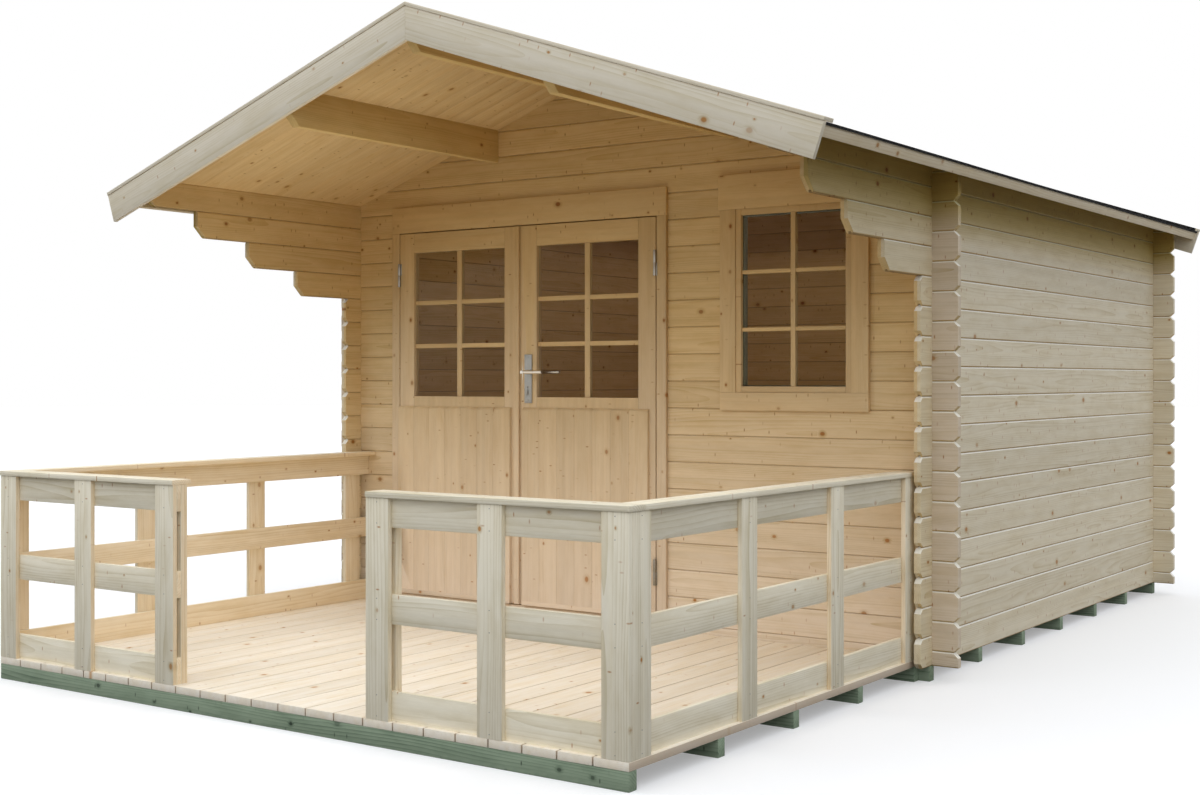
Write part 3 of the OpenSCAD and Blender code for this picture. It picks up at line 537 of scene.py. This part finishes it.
# Planed spruce in the weather, bleached a little
trim_spruce = timber("planed_spruce_trim", ("F0E6D1", "F1DBB4"), ("DACBA6", "DFBE86"), ("BA8244", "AC7238"),
                     rough=0.65, ring=0.007, ring_share=0.9, knot_share=0.34, bump=0.5)

for node in ("front_bargeboards", "back_bargeboards", "bargeboard_caps"):
    planed(node, board_arris, trim_spruce, slope=roof_pitch)
planed("eave_fascias", board_arris, trim_spruce,
       cover=lambda centre, normal: np.full(len(centre), fascia_cover))

# Roofing felt
# Bitumen felt with a face of slate grit, nailed over the roof boards. Each slope has two sheets, the upper
# lapped over the lower, and half of a ridge strip. It turns down over the fascia, and up at the back.

felt_t = 0.0025
felt_layer = 1.1 * felt_t
felt_gap = 0.0003
felt_arris = 0.0005
felt_lip = 0.007
felt_lap = 0.10
felt_cells = (14, 48)
ripple_size = 0.35
ripple_height = 0.0016
lower_sheet = 0.95
ridge_strip = 0.16
back_strip = 0.062
grit = 0.006
clout_gap = 0.12
clout_radius = 0.005
clout_height = 0.001
clout_inset = 0.02
clout_proud = 0.0006
round_under = 40


def joined(pieces):
    """Joins pieces into the first of them"""
    pick(*pieces)
    bpy.ops.object.join()
    return pieces[0]


def scatter(piece, places):
    """Sets copies of a small piece at places, and joins them"""
    copies = []
    for place in places:
        copy = bpy.data.objects.new(piece.name, piece.data.copy())
        copy.location = place
        bpy.context.collection.objects.link(copy)
        copies.append(copy)
    title = piece.name
    bpy.data.objects.remove(piece)
    whole = joined(copies)
    bpy.ops.object.transform_apply()
    whole.name = title
    return whole


def stud(name, radius, height, facing, sides=12):
    """A small round head at the origin, proud by height towards facing, with its rim rounded"""
    rim_share = 0.6
    bpy.ops.object.select_all(action="DESELECT")
    turn = Vector((0, 0, 1)).rotation_difference(Vector(facing)).to_euler()
    bpy.ops.mesh.primitive_cylinder_add(vertices=sides, radius=radius, depth=2 * height, rotation=turn)
    piece = bpy.context.active_object
    piece.name = name
    bpy.ops.object.transform_apply()
    ease = piece.modifiers.new("rim", "BEVEL")
    ease.width = rim_share * min(height, radius)
    ease.segments = 2
    ease.limit_method = "ANGLE"
    bpy.ops.object.modifier_apply(modifier="rim")
    bpy.ops.object.shade_smooth_by_angle(angle=math.radians(round_under))
    return piece


# Slate grit on bitumen: nearly black and dull, with pale grains. Real grains of about 1 mm are too fine
# to show, so they are drawn at several millimetres.
slate_felt, tree, shader = new_material("slate_grit_bitumen_felt")
where = add_node(tree, "TexCoord").outputs["Object"]
grains = add_node(tree, "TexVoronoi", {"Vector": where, "Scale": 1 / grit})
speck = add_node(tree, "SeparateColor", {0: grains.outputs["Color"]}).outputs
speck_light = add_node(tree, "Math", {0: speck[0], 1: 3.0}, operation="POWER").outputs[0]
faces = add_node(tree, "Mix", {0: speck_light, 6: linear("1A1918"), 7: linear("4E4D4B")},
                 data_type="RGBA").outputs[2]
patch = add_node(tree, "TexNoise", {"Vector": where, "Scale": 2.2, "Detail": 4.0}).outputs["Fac"]
patch = add_node(tree, "MapRange", {"Value": patch, "From Min": 0.3, "From Max": 0.7,
                 "To Min": 0.8, "To Max": 1.2}).outputs[0]
faces = add_node(tree, "HueSaturation", {"Color": faces, "Value": patch}).outputs[0]
tree.links.new(faces, shader.inputs["Base Color"])
dull = add_node(tree, "MapRange", {"Value": speck[1], "To Min": 0.82, "To Max": 0.98}).outputs[0]
tree.links.new(dull, shader.inputs["Roughness"])
relief = add_node(tree, "Bump", {"Height": grains.outputs["Distance"], "Strength": 0.5, "Distance": 0.0015})
tree.links.new(relief.outputs[0], shader.inputs["Normal"])
shader.inputs["Specular IOR Level"].default_value = 0.08


def plated_steel(name, dark, pale, smooth, dull, marks):
    """Plated steel between two colours and two roughnesses, with marks of so many to the metre each way"""
    material, tree, shader = new_material(name)
    where = add_node(tree, "TexCoord").outputs["Object"]
    where = add_node(tree, "Mapping", {"Vector": where, "Scale": marks}).outputs[0]
    cloud = add_node(tree, "TexNoise", {"Vector": where, "Scale": 1.0, "Detail": 3.0}).outputs["Fac"]
    plate = add_node(tree, "Mix", {0: cloud, 6: linear(dark), 7: linear(pale)}, data_type="RGBA").outputs[2]
    tree.links.new(plate, shader.inputs["Base Color"])
    sheen = add_node(tree, "MapRange", {"Value": cloud, "To Min": smooth, "To Max": dull}).outputs[0]
    tree.links.new(sheen, shader.inputs["Roughness"])
    relief = add_node(tree, "Bump", {"Height": cloud, "Strength": 0.12, "Distance": 0.0003})
    tree.links.new(relief.outputs[0], shader.inputs["Normal"])
    shader.inputs["Metallic"].default_value = 1.0
    return material


# Bright zinc plating on steel: grey, half dull, with faint clouds where the plating dried
zinc_steel = plated_steel("zinc_plated_steel", "8C877D", "ABA599", 0.32, 0.5, (140, 140, 140))

ripple = bpy.data.textures.new("felt_ripple", "CLOUDS")
ripple.noise_scale = ripple_size
for side, node in ((1, "right_roof_felt"), (-1, "left_roof_felt")):
    low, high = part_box(node)
    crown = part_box("right_roof_boards")[1].z
    edge = (high.x if side > 0 else -low.x) / math.cos(roof_pitch) - 0.5 * felt_t
    edge -= 0.5 * felt_t * math.tan(roof_pitch)
    over_ridge = (2 * felt_layer + felt_t) * math.tan(roof_pitch)
    sheets = []
    clouts = []
    for start, end, lift, lip in ((edge - lower_sheet, edge, 0.0, felt_lip),
                                  (0.0, edge - lower_sheet + felt_lap, felt_layer, 0.0),
                                  (-over_ridge, ridge_strip, 2 * felt_layer, 0.0)):
        bpy.ops.object.select_all(action="DESELECT")
        bpy.ops.mesh.primitive_grid_add(x_subdivisions=felt_cells[0], y_subdivisions=felt_cells[1], size=1)
        sheet = bpy.context.active_object
        sheet.scale = (end - start, high.y - low.y, 1)
        sheet.location = (side * (start + end) / 2, (low.y + high.y) / 2, lift)
        bpy.ops.object.transform_apply()
        if lip:
            for group in (sheet.data.polygons, sheet.data.edges, sheet.data.vertices):
                group.foreach_set("select", [False] * len(group))
            for point in sheet.data.vertices:
                point.select = side * point.co.x > end - felt_gap
            bpy.ops.object.mode_set(mode="EDIT")
            bpy.ops.mesh.extrude_region_move(TRANSFORM_OT_translate={"value": (0, 0, -lip)})
            bpy.ops.object.mode_set(mode="OBJECT")
        waves = sheet.modifiers.new("ripple", "DISPLACE")
        waves.texture = ripple
        waves.texture_coords = "LOCAL"
        waves.direction = "Z"
        waves.strength = ripple_height
        waves.mid_level = 0.5
        bpy.ops.object.modifier_apply(modifier="ripple")
        body = sheet.modifiers.new("thickness", "SOLIDIFY")
        body.thickness = felt_t
        body.offset = 1.0
        bpy.ops.object.modifier_apply(modifier="thickness")
        sheet.rotation_euler = (0, side * roof_pitch, 0)
        sheet.location = (0, 0, crown + felt_gap)
        bpy.ops.object.transform_apply()
        bpy.ops.object.shade_smooth_by_angle(angle=math.radians(round_under))
        sheets.append(sheet)
        if end < edge:
            down = end - clout_inset
            proud = lift + felt_t + clout_proud
            out = side * (down * math.cos(roof_pitch) + proud * math.sin(roof_pitch))
            up = crown - down * math.sin(roof_pitch) + proud * math.cos(roof_pitch)
            for i in range(1, int((high.y - low.y) / clout_gap)):
                clouts.append((out, low.y + i * clout_gap, up))
    strip_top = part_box("bargeboard_caps")[1]
    tall = (strip_top.z - crown) * math.cos(roof_pitch)
    ends = sorted((-side * tall * math.tan(roof_pitch), side * edge))
    upstand = plank(node + "_upstand", (ends[0], strip_top.y - back_strip - felt_t, 0),
                    (ends[1], strip_top.y - back_strip, tall), felt_arris, steps=1)
    upstand.rotation_euler = (0, side * roof_pitch, 0)
    upstand.location = (0, 0, crown)
    bpy.ops.object.transform_apply()
    sheets.append(upstand)
    piece = joined(sheets)
    piece.name = node + "_sheets"
    fit(piece, slate_felt, "roofing_felt", "house", node)
    square_on = (side * math.sin(roof_pitch), 0, math.cos(roof_pitch))
    head = stud(node + "_clouts", clout_radius, clout_height, square_on, sides=10)
    fit(scatter(head, clouts), zinc_steel, "zinc_steel", "house")

# Door frame
# Planed spruce posts, a head and a sill, let into the ends of the cut logs. Stops inside take the closing
# leaves, and flat casings are nailed on outside.

joinery_arris = 0.0015

# Joinery spruce, planed and sorted: close rings, few knots
joinery_spruce = timber("planed_spruce_joinery", ("EDDCCA", "E0C188"), ("DAC4A5", "CEA76A"),
                        ("B67A3E", "9A602C"), rough=0.6, ring_share=0.4, knot_gap=0.12, knot_share=0.36,
                        tones=(0.92, 1.06), joint_shade=0.12)

for node in ("door_frame", "door_stops", "door_casing"):
    planed(node, joinery_arris, joinery_spruce)

# Window
# A fixed spruce sash in a frame let into the logs, with wide casings nailed on outside. The pane is bedded
# on grey sealing strips, and bars planted on both its faces divide it into six.

pane_arris = 0.0004
bar_arris = 0.0012
bar_set_in = 0.001
seal_arris = 0.0008
seal_t = 0.004
seal_depth = 0.030
window_bar_w = 0.022
window_bar_h = 0.016
window_bar_levels = (0.331, 0.667)
window_bar_depth = 0.009


def glazing_bars(name, pane, width, height, levels, depth):
    """Bars on both faces of a pane: one upright in the middle and level ones between it and the edges"""
    low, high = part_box(pane)
    middle = (low.x + high.x) / 2
    parts = []
    for front, back in ((low.y - depth, low.y), (high.y, high.y + depth)):
        upright = (middle - width / 2, front, low.z), (middle + width / 2, back, high.z)
        parts.append(plank(name, *upright, bar_arris))
        for level in levels:
            z = low.z + level * (high.z - low.z)
            for left, right in ((low.x, middle - width / 2), (middle + width / 2, high.x)):
                level_bar = (left, front + bar_set_in, z - height / 2), (right, back, z + height / 2)
                parts.append(plank(name, *level_bar, bar_arris))
    return joined(parts)


for node in ("window_frame", "window_sash", "window_casing"):
    planed(node, joinery_arris, joinery_spruce)

# Float glass: clear, with faint dust that dulls it in patches
float_glass, tree, shader = new_material("clear_float_glass")
where = add_node(tree, "TexCoord").outputs["Object"]
dust = add_node(tree, "TexNoise", {"Vector": where, "Scale": 7.0, "Detail": 5.0}).outputs["Fac"]
dust = add_node(tree, "MapRange", {"Value": dust, "From Min": 0.45, "From Max": 0.8,
                "To Min": 0.0, "To Max": 0.02}).outputs[0]
tree.links.new(dust, shader.inputs["Roughness"])
shader.inputs["Base Color"].default_value = linear("FAFCFB")
shader.inputs["Transmission Weight"].default_value = 1.0
shader.inputs["IOR"].default_value = 1.45
shader.inputs["Specular Tint"].default_value = (0.05, 0.05, 0.05, 1.0)

piece = eased_copy("window_glass", "window_pane", pane_arris, steps=1)
fit(piece, float_glass, "clear_glass", "house", "window_glass")

piece = glazing_bars("window_bars", "window_glass", window_bar_w, window_bar_h, window_bar_levels,
                     window_bar_depth)
lay_grain(piece)
fit(piece, joinery_spruce, "planed_spruce", "house")

# Sealing strip of cellular rubber: pale grey and quite dull
rubber, tree, shader = new_material("grey_sealing_rubber")
where = add_node(tree, "TexCoord").outputs["Object"]
pores = add_node(tree, "TexNoise", {"Vector": where, "Scale": 900.0, "Detail": 2.0}).outputs["Fac"]
tint = add_node(tree, "Mix", {0: pores, 6: linear("85836C"), 7: linear("A5A287")},
                data_type="RGBA").outputs[2]
tree.links.new(tint, shader.inputs["Base Color"])
relief = add_node(tree, "Bump", {"Height": pores, "Strength": 0.2, "Distance": 0.0003})
tree.links.new(relief.outputs[0], shader.inputs["Normal"])
shader.inputs["Roughness"].default_value = 0.8

low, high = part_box("window_glass")
strips = []
for left, bottom, right, top in ((low.x, low.z, low.x + seal_t, high.z),
                                 (high.x - seal_t, low.z, high.x, high.z),
                                 (low.x + seal_t, low.z, high.x - seal_t, low.z + seal_t),
                                 (low.x + seal_t, high.z - seal_t, high.x - seal_t, high.z)):
    strip_low, strip_high = (left, high.y, bottom), (right, high.y + seal_depth, top)
    strips.append(plank("window_seals", strip_low, strip_high, seal_arris))
fit(joined(strips), rubber, "clear_glass", "house")

# Door leaves
# Each leaf is framed from planed spruce, with a barred pane above. Upright boards planted on below have a
# sloping top, a weather strip and room for a hinge. A cover strip and a bead close the gap between them.

panel_boards = 7
panel_joint = 0.0006
panel_slope = 0.012
panel_arris = 0.0008
weather_h = 0.020
weather_t = 0.004
weather_bed = 0.001
weather_arris = 0.0012
door_bar_w = 0.028
door_bar_h = 0.020
door_bar_levels = (0.349, 0.649)
door_bar_depth = 0.010
hinge_notch = (0.027, 0.268, 0.388)  # half width, foot and head
notch_arris = 0.001
bead_w = 0.0045
bead_arris = 0.0008
bead_set_back = 0.0015


def cut_out(piece, cutter):
    """Takes the shape of a cutter out of a piece, and the cutter away"""
    hole = piece.modifiers.new("hole", "BOOLEAN")
    hole.object = cutter
    hole.solver = "EXACT"
    bpy.context.view_layer.objects.active = piece
    bpy.ops.object.modifier_apply(modifier="hole")
    bpy.data.objects.remove(cutter)


for leaf in ("left_door", "right_door"):
    for node in ([leaf + "_leaf"] + [leaf + "_strip"] * (leaf == "left_door")):
        planed(node, joinery_arris, joinery_spruce, leaf)

    low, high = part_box(leaf + "_panel")
    pitch = (high.x - low.x + panel_joint) / panel_boards
    board_end = (low.x + pitch - panel_joint, high.y, high.z)
    piece = plank(leaf + "_panel_boards", low, board_end, panel_arris, steps=1)
    repeat(piece, panel_boards, (pitch, 0, 0))
    slope = (0, low.y, high.z - panel_slope), (0, -1, 1)
    cut_across(piece, [slope], use_fill=True, clear_outer=True)
    if leaf == "left_door":
        wide, foot, head = hinge_notch
        cut_out(piece, plank("notch", (low.x - wide, low.y - wide, foot), (low.x + wide, high.y + wide, head),
                             notch_arris))
    weather = plank(leaf + "_weather", (low.x, low.y - weather_t, low.z),
                    (high.x, low.y + weather_bed, low.z + weather_h), weather_arris)
    piece = joined([piece, weather])
    lay_grain(piece)
    fit(piece, joinery_spruce, "planed_spruce_boards", leaf, leaf + "_panel")

    piece = glazing_bars(leaf + "_bars", leaf + "_glass", door_bar_w, door_bar_h, door_bar_levels,
                         door_bar_depth)
    lay_grain(piece)
    fit(piece, joinery_spruce, "planed_spruce", leaf)
    piece = eased_copy(leaf + "_glass", leaf + "_pane", pane_arris, steps=1)
    fit(piece, float_glass, "clear_glass", leaf, leaf + "_glass")

low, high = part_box("left_door_leaf")
piece = plank("left_door_bead", (high.x, low.y + bead_set_back, low.z),
              (high.x + bead_w, high.y - bead_set_back, high.z), bead_arris)
lay_grain(piece)
fit(piece, joinery_spruce, "planed_spruce", "left_door")

# Hinges
# Lift-off hinges of zinc plated steel: the lower half with its pin on the frame, the upper half on the leaf,
# each with a flap that is let into the wood, so that only the edge of it shows beside the knuckle.

hinge_arris = 0.0004
flap_shows = 0.009
left_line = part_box("left_door_leaf")[0].x
right_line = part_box("right_door_leaf")[1].x
for node, body, cuts in (
        ("door_frame_hinges", "house", ((left_line - flap_shows, -1), (right_line + flap_shows, 1))),
        ("left_door_hinges", "left_door", ((left_line + flap_shows, 1),)),
        ("right_door_hinges", "right_door", ((right_line - flap_shows, -1),))):
    piece = eased_copy(node, node + "_plated", hinge_arris)
    cut_across(piece, [((x, 0, 0), (way, 0, 0)) for x, way in cuts], use_fill=True, clear_outer=True)
    fit(piece, zinc_steel, "zinc_steel", body, node)

# Door handle
# Two long plates of dull nickel plated steel, screwed through the leaf, with a keyhole under the lever. The
# round levers, bright from hands, stand on one spindle.

plate_arris = 0.0015
lever_arris = 0.0016
screw_radius = 0.0038
screw_height = 0.0012
screw_drop = 0.013
keyhole_drop = 0.147
keyhole_radius = 0.0035
keyhole_slot = (0.0022, 0.009)  # width and height
keyhole_depth = 0.03
slot_arris = 0.0002
past_plate = 0.001

# Dull nickel plating: warm grey, brushed across the plates, and paler where hands polish the levers
nickel = plated_steel("dull_nickel_plated_steel", "8A8882", "ABA9A2", 0.34, 0.5, (60, 60, 1400))
worn_nickel = plated_steel("hand_polished_nickel_plated_steel", "D2CDC2", "EDE8DD", 0.3, 0.45, (60, 400, 400))

for node, body, arris in (("handle_plate", "right_door", plate_arris),
                          ("inner_handle_plate", "right_door", plate_arris),
                          ("handle_levers", "door_handle", lever_arris)):
    piece = eased_copy(node, node + "_plated", arris)
    if body == "right_door":
        low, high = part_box(node)
        eye = Vector(((low.x + high.x) / 2, low.y - past_plate, high.z - keyhole_drop))
        bpy.ops.mesh.primitive_cylinder_add(vertices=16, radius=keyhole_radius, depth=keyhole_depth,
                                            location=eye, rotation=(math.radians(90), 0, 0))
        cut_out(piece, bpy.context.active_object)
        wide, tall = keyhole_slot
        cut_out(piece, plank("keyhole_slot", (eye.x - wide / 2, eye.y, eye.z - tall),
                             (eye.x + wide / 2, high.y + past_plate, eye.z), slot_arris))
    fit(piece, nickel if body == "right_door" else worn_nickel, "zinc_steel", body, node)

for node, facing in (("handle_plate", -1), ("inner_handle_plate", 1)):
    low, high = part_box(node)
    face = low.y if facing < 0 else high.y
    middle = (low.x + high.x) / 2
    heads = scatter(stud(node + "_screws", screw_radius, screw_height, (0, facing, 0)),
                    [(middle, face, low.z + screw_drop), (middle, face, high.z - screw_drop)])
    fit(heads, nickel, "zinc_steel", "right_door")

# Railing
# Planed spruce boards round the terrace: three rails nailed to the inside of flat uprights, and a flat cap
# board on top. Each rail has two nails at each upright.

nail_radius = 0.0018
nail_height = 0.0005
nail_spread = 0.033
board_overlap = 0.01
board_apart = 0.08
# How far a face must look into the terrace, and how much covered colour it gets there as painted bounce light
# from the deck
inward_from = 0.1
deck_bounce_cover = 0.7

# Planed spruce that rain has roughened: pale and a little grey, with the dark rings standing out
rail_spruce = timber("planed_spruce_railing", ("FAF1DA", "FEE9C8"), ("DACBA6", "E8C891"),
                     ("BA8244", "AC7238"), rough=0.7, ring=0.008, ring_share=0.9, knot_share=0.34, bump=0.7)


def solids_in(piece):
    """Lowest and highest corners of each loose solid of a piece"""
    spots, parts = loose_solids(piece.data)
    return [(spots[part].min(0), spots[part].max(0)) for part in parts]


def painted_deck_bounce(centre, normal):
    """Faces that look into the terrace get part of the covered colour, as painted warm light thrown up from
    the deck
    """
    low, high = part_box("terrace_deck")
    inward = (np.array((low + high) / 2) - centre) * normal
    return np.where(inward[:, 0] + inward[:, 1] > inward_from, deck_bounce_cover, 0.0)


for part in ("front_railing", "side_railing"):
    across = 0 if part == "front_railing" else 1
    through = 1 - across
    boards = {}
    for member in ("uprights", "rails", "caps"):
        boards[member] = planed(part + "_" + member, board_arris, rail_spruce, cover=painted_deck_bounce)
    heads = {}
    for low, high in solids_in(boards["uprights"]):
        for rail_low, rail_high in solids_in(boards["rails"]):
            starts = rail_low[across] < high[across] - board_overlap
            ends = rail_high[across] > low[across] + board_overlap
            upright_at = low[through] + high[through]
            rail_at = rail_low[through] + rail_high[through]
            nailed = abs(upright_at - rail_at) < board_apart and abs(upright_at) > abs(rail_at)
            if starts and ends and nailed:
                out = -1 if upright_at < 0 else 1
                spot = (low + high) / 2
                spot[through] = low[through] if out < 0 else high[through]
                for offset in (-nail_spread, nail_spread):
                    spot[2] = (rail_low[2] + rail_high[2]) / 2 + offset
                    heads.setdefault(out, []).append(tuple(spot))
    for out, places in heads.items():
        facing = [0, 0, 0]
        facing[through] = out
        name = part + ("_nails_low" if out < 0 else "_nails_high")
        head = stud(name, nail_radius, nail_height, facing, sides=8)
        fit(scatter(head, places), zinc_steel, "zinc_steel", "house")

# Stage, light and camera
# A wide white floor under an even overcast sky, with three soft lamps that brighten the porch and the room.
# The view is from the front right corner, a little below eye level.

bpy.context.scene.view_settings.view_transform = "Standard"
floor_radius = 60.0
sky_zenith = 1.52
sky_horizon = 0.50
sky_front = 0.25
porch_lamp_watts = 4.1
porch_fill_watts = 2.8
porch_lamp_setback = 0.85
porch_lamp_short = 0.4
porch_fill_height = 0.9
room_lamp_watts = 4.2
lamp_share = 0.9
floor_glow = 0.3

bpy.ops.object.select_all(action="DESELECT")
bpy.ops.mesh.primitive_circle_add(vertices=96, radius=floor_radius, fill_type="NGON")
floor = bpy.context.active_object
floor.name = "studio_floor"


def in_sight(tree):
    """1 where a surface is seen, also by way of metal and glass, and 0 for the light that it sends"""
    path = add_node(tree, "LightPath").outputs
    seen = add_node(tree, "Math", {0: path["Is Camera Ray"], 1: path["Is Glossy Ray"]},
                    operation="MAXIMUM").outputs[0]
    return add_node(tree, "Math", {0: seen, 1: path["Is Transmission Ray"]}, operation="MAXIMUM").outputs[0]


# Matt white paint: white where it is seen, and darker for the light that it throws back on the house
white_paint, tree, shader = new_material("matt_white_studio_paint")
seen = in_sight(tree)
tint = add_node(tree, "Mix", {0: seen, 6: linear("525252"), 7: linear("DCDCDC")},
                data_type="RGBA").outputs[2]
tree.links.new(tint, shader.inputs["Base Color"])
glow = add_node(tree, "Math", {0: seen, 1: floor_glow}, operation="MULTIPLY").outputs[0]
tree.links.new(glow, shader.inputs["Emission Strength"])
shader.inputs["Emission Color"].default_value = (1.0, 1.0, 1.0, 1.0)
shader.inputs["Roughness"].default_value = 1.0
shader.inputs["Specular IOR Level"].default_value = 0.0
floor.data.materials.append(white_paint)

world = bpy.data.worlds.new("overcast_sky")
bpy.context.scene.world = world
world.use_nodes = True
tree = world.node_tree
seen = in_sight(tree)
aim = add_node(tree, "TexCoord").outputs["Generated"]
aim = add_node(tree, "SeparateXYZ", {0: aim}).outputs
level = add_node(tree, "MapRange", {"Value": aim["Z"], "To Min": sky_horizon,
                 "To Max": sky_zenith}).outputs[0]
ahead = add_node(tree, "Math", {0: aim["Y"], 1: -sky_front, 2: 1.0}, operation="MULTIPLY_ADD").outputs[0]
level = add_node(tree, "Math", {0: level, 1: ahead}, operation="MULTIPLY").outputs[0]
sky = add_node(tree, "Background", {"Color": (0.97, 1.0, 1.05, 1.0), "Strength": level})
backdrop = add_node(tree, "Background", {"Color": (1.0, 1.0, 1.0, 1.0), "Strength": 1.0})
mixed = add_node(tree, "MixShader", {0: seen, 1: sky.outputs[0], 2: backdrop.outputs[0]})
tree.links.new(mixed.outputs[0], tree.nodes["World Output"].inputs["Surface"])

deck_low, deck_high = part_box("terrace_deck")
porch = ((deck_low.x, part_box("front_bargeboards")[1].y),
         (deck_high.x - porch_lamp_short, deck_high.y - porch_lamp_setback))
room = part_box("house_floor")
lamp_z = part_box("door_casing")[1].z
white, wood_glow = (1.0, 1.0, 1.0), (1.0, 0.82, 0.65)
for name, low, high, height, turn, watts, spread, colour in (
        ("porch_lamp", *porch, lamp_z, 0, porch_lamp_watts, 100, white),
        ("porch_fill", *porch, porch_fill_height, math.pi, porch_fill_watts, 100, white),
        ("room_lamp", *room, lamp_z, 0, room_lamp_watts, 180, wood_glow)):
    lamp = bpy.data.lights.new(name, "AREA")
    lamp.shape = "RECTANGLE"
    lamp.size = lamp_share * (high[0] - low[0])
    lamp.size_y = lamp_share * (high[1] - low[1])
    lamp.energy = watts
    lamp.color = colour
    lamp.spread = math.radians(spread)
    place = bpy.data.objects.new(name, lamp)
    place.location = ((low[0] + high[0]) / 2, (low[1] + high[1]) / 2, height)
    place.rotation_euler = (turn, 0, 0)
    place.visible_camera = False
    place.visible_glossy = False
    place.visible_transmission = False
    bpy.context.collection.objects.link(place)

lens = bpy.data.cameras.new("view_from_the_garden")
lens.lens = 46.917
lens.sensor_width = 36.0
lens.shift_x = -0.00037
lens.shift_y = -0.01545
camera = bpy.data.objects.new("view_from_the_garden", lens)
camera.location = (3.8790, -6.1543, 1.1505)
camera.rotation_euler = (math.radians(90), 0, 0.6103)
bpy.context.collection.objects.link(camera)
bpy.context.scene.camera = camera
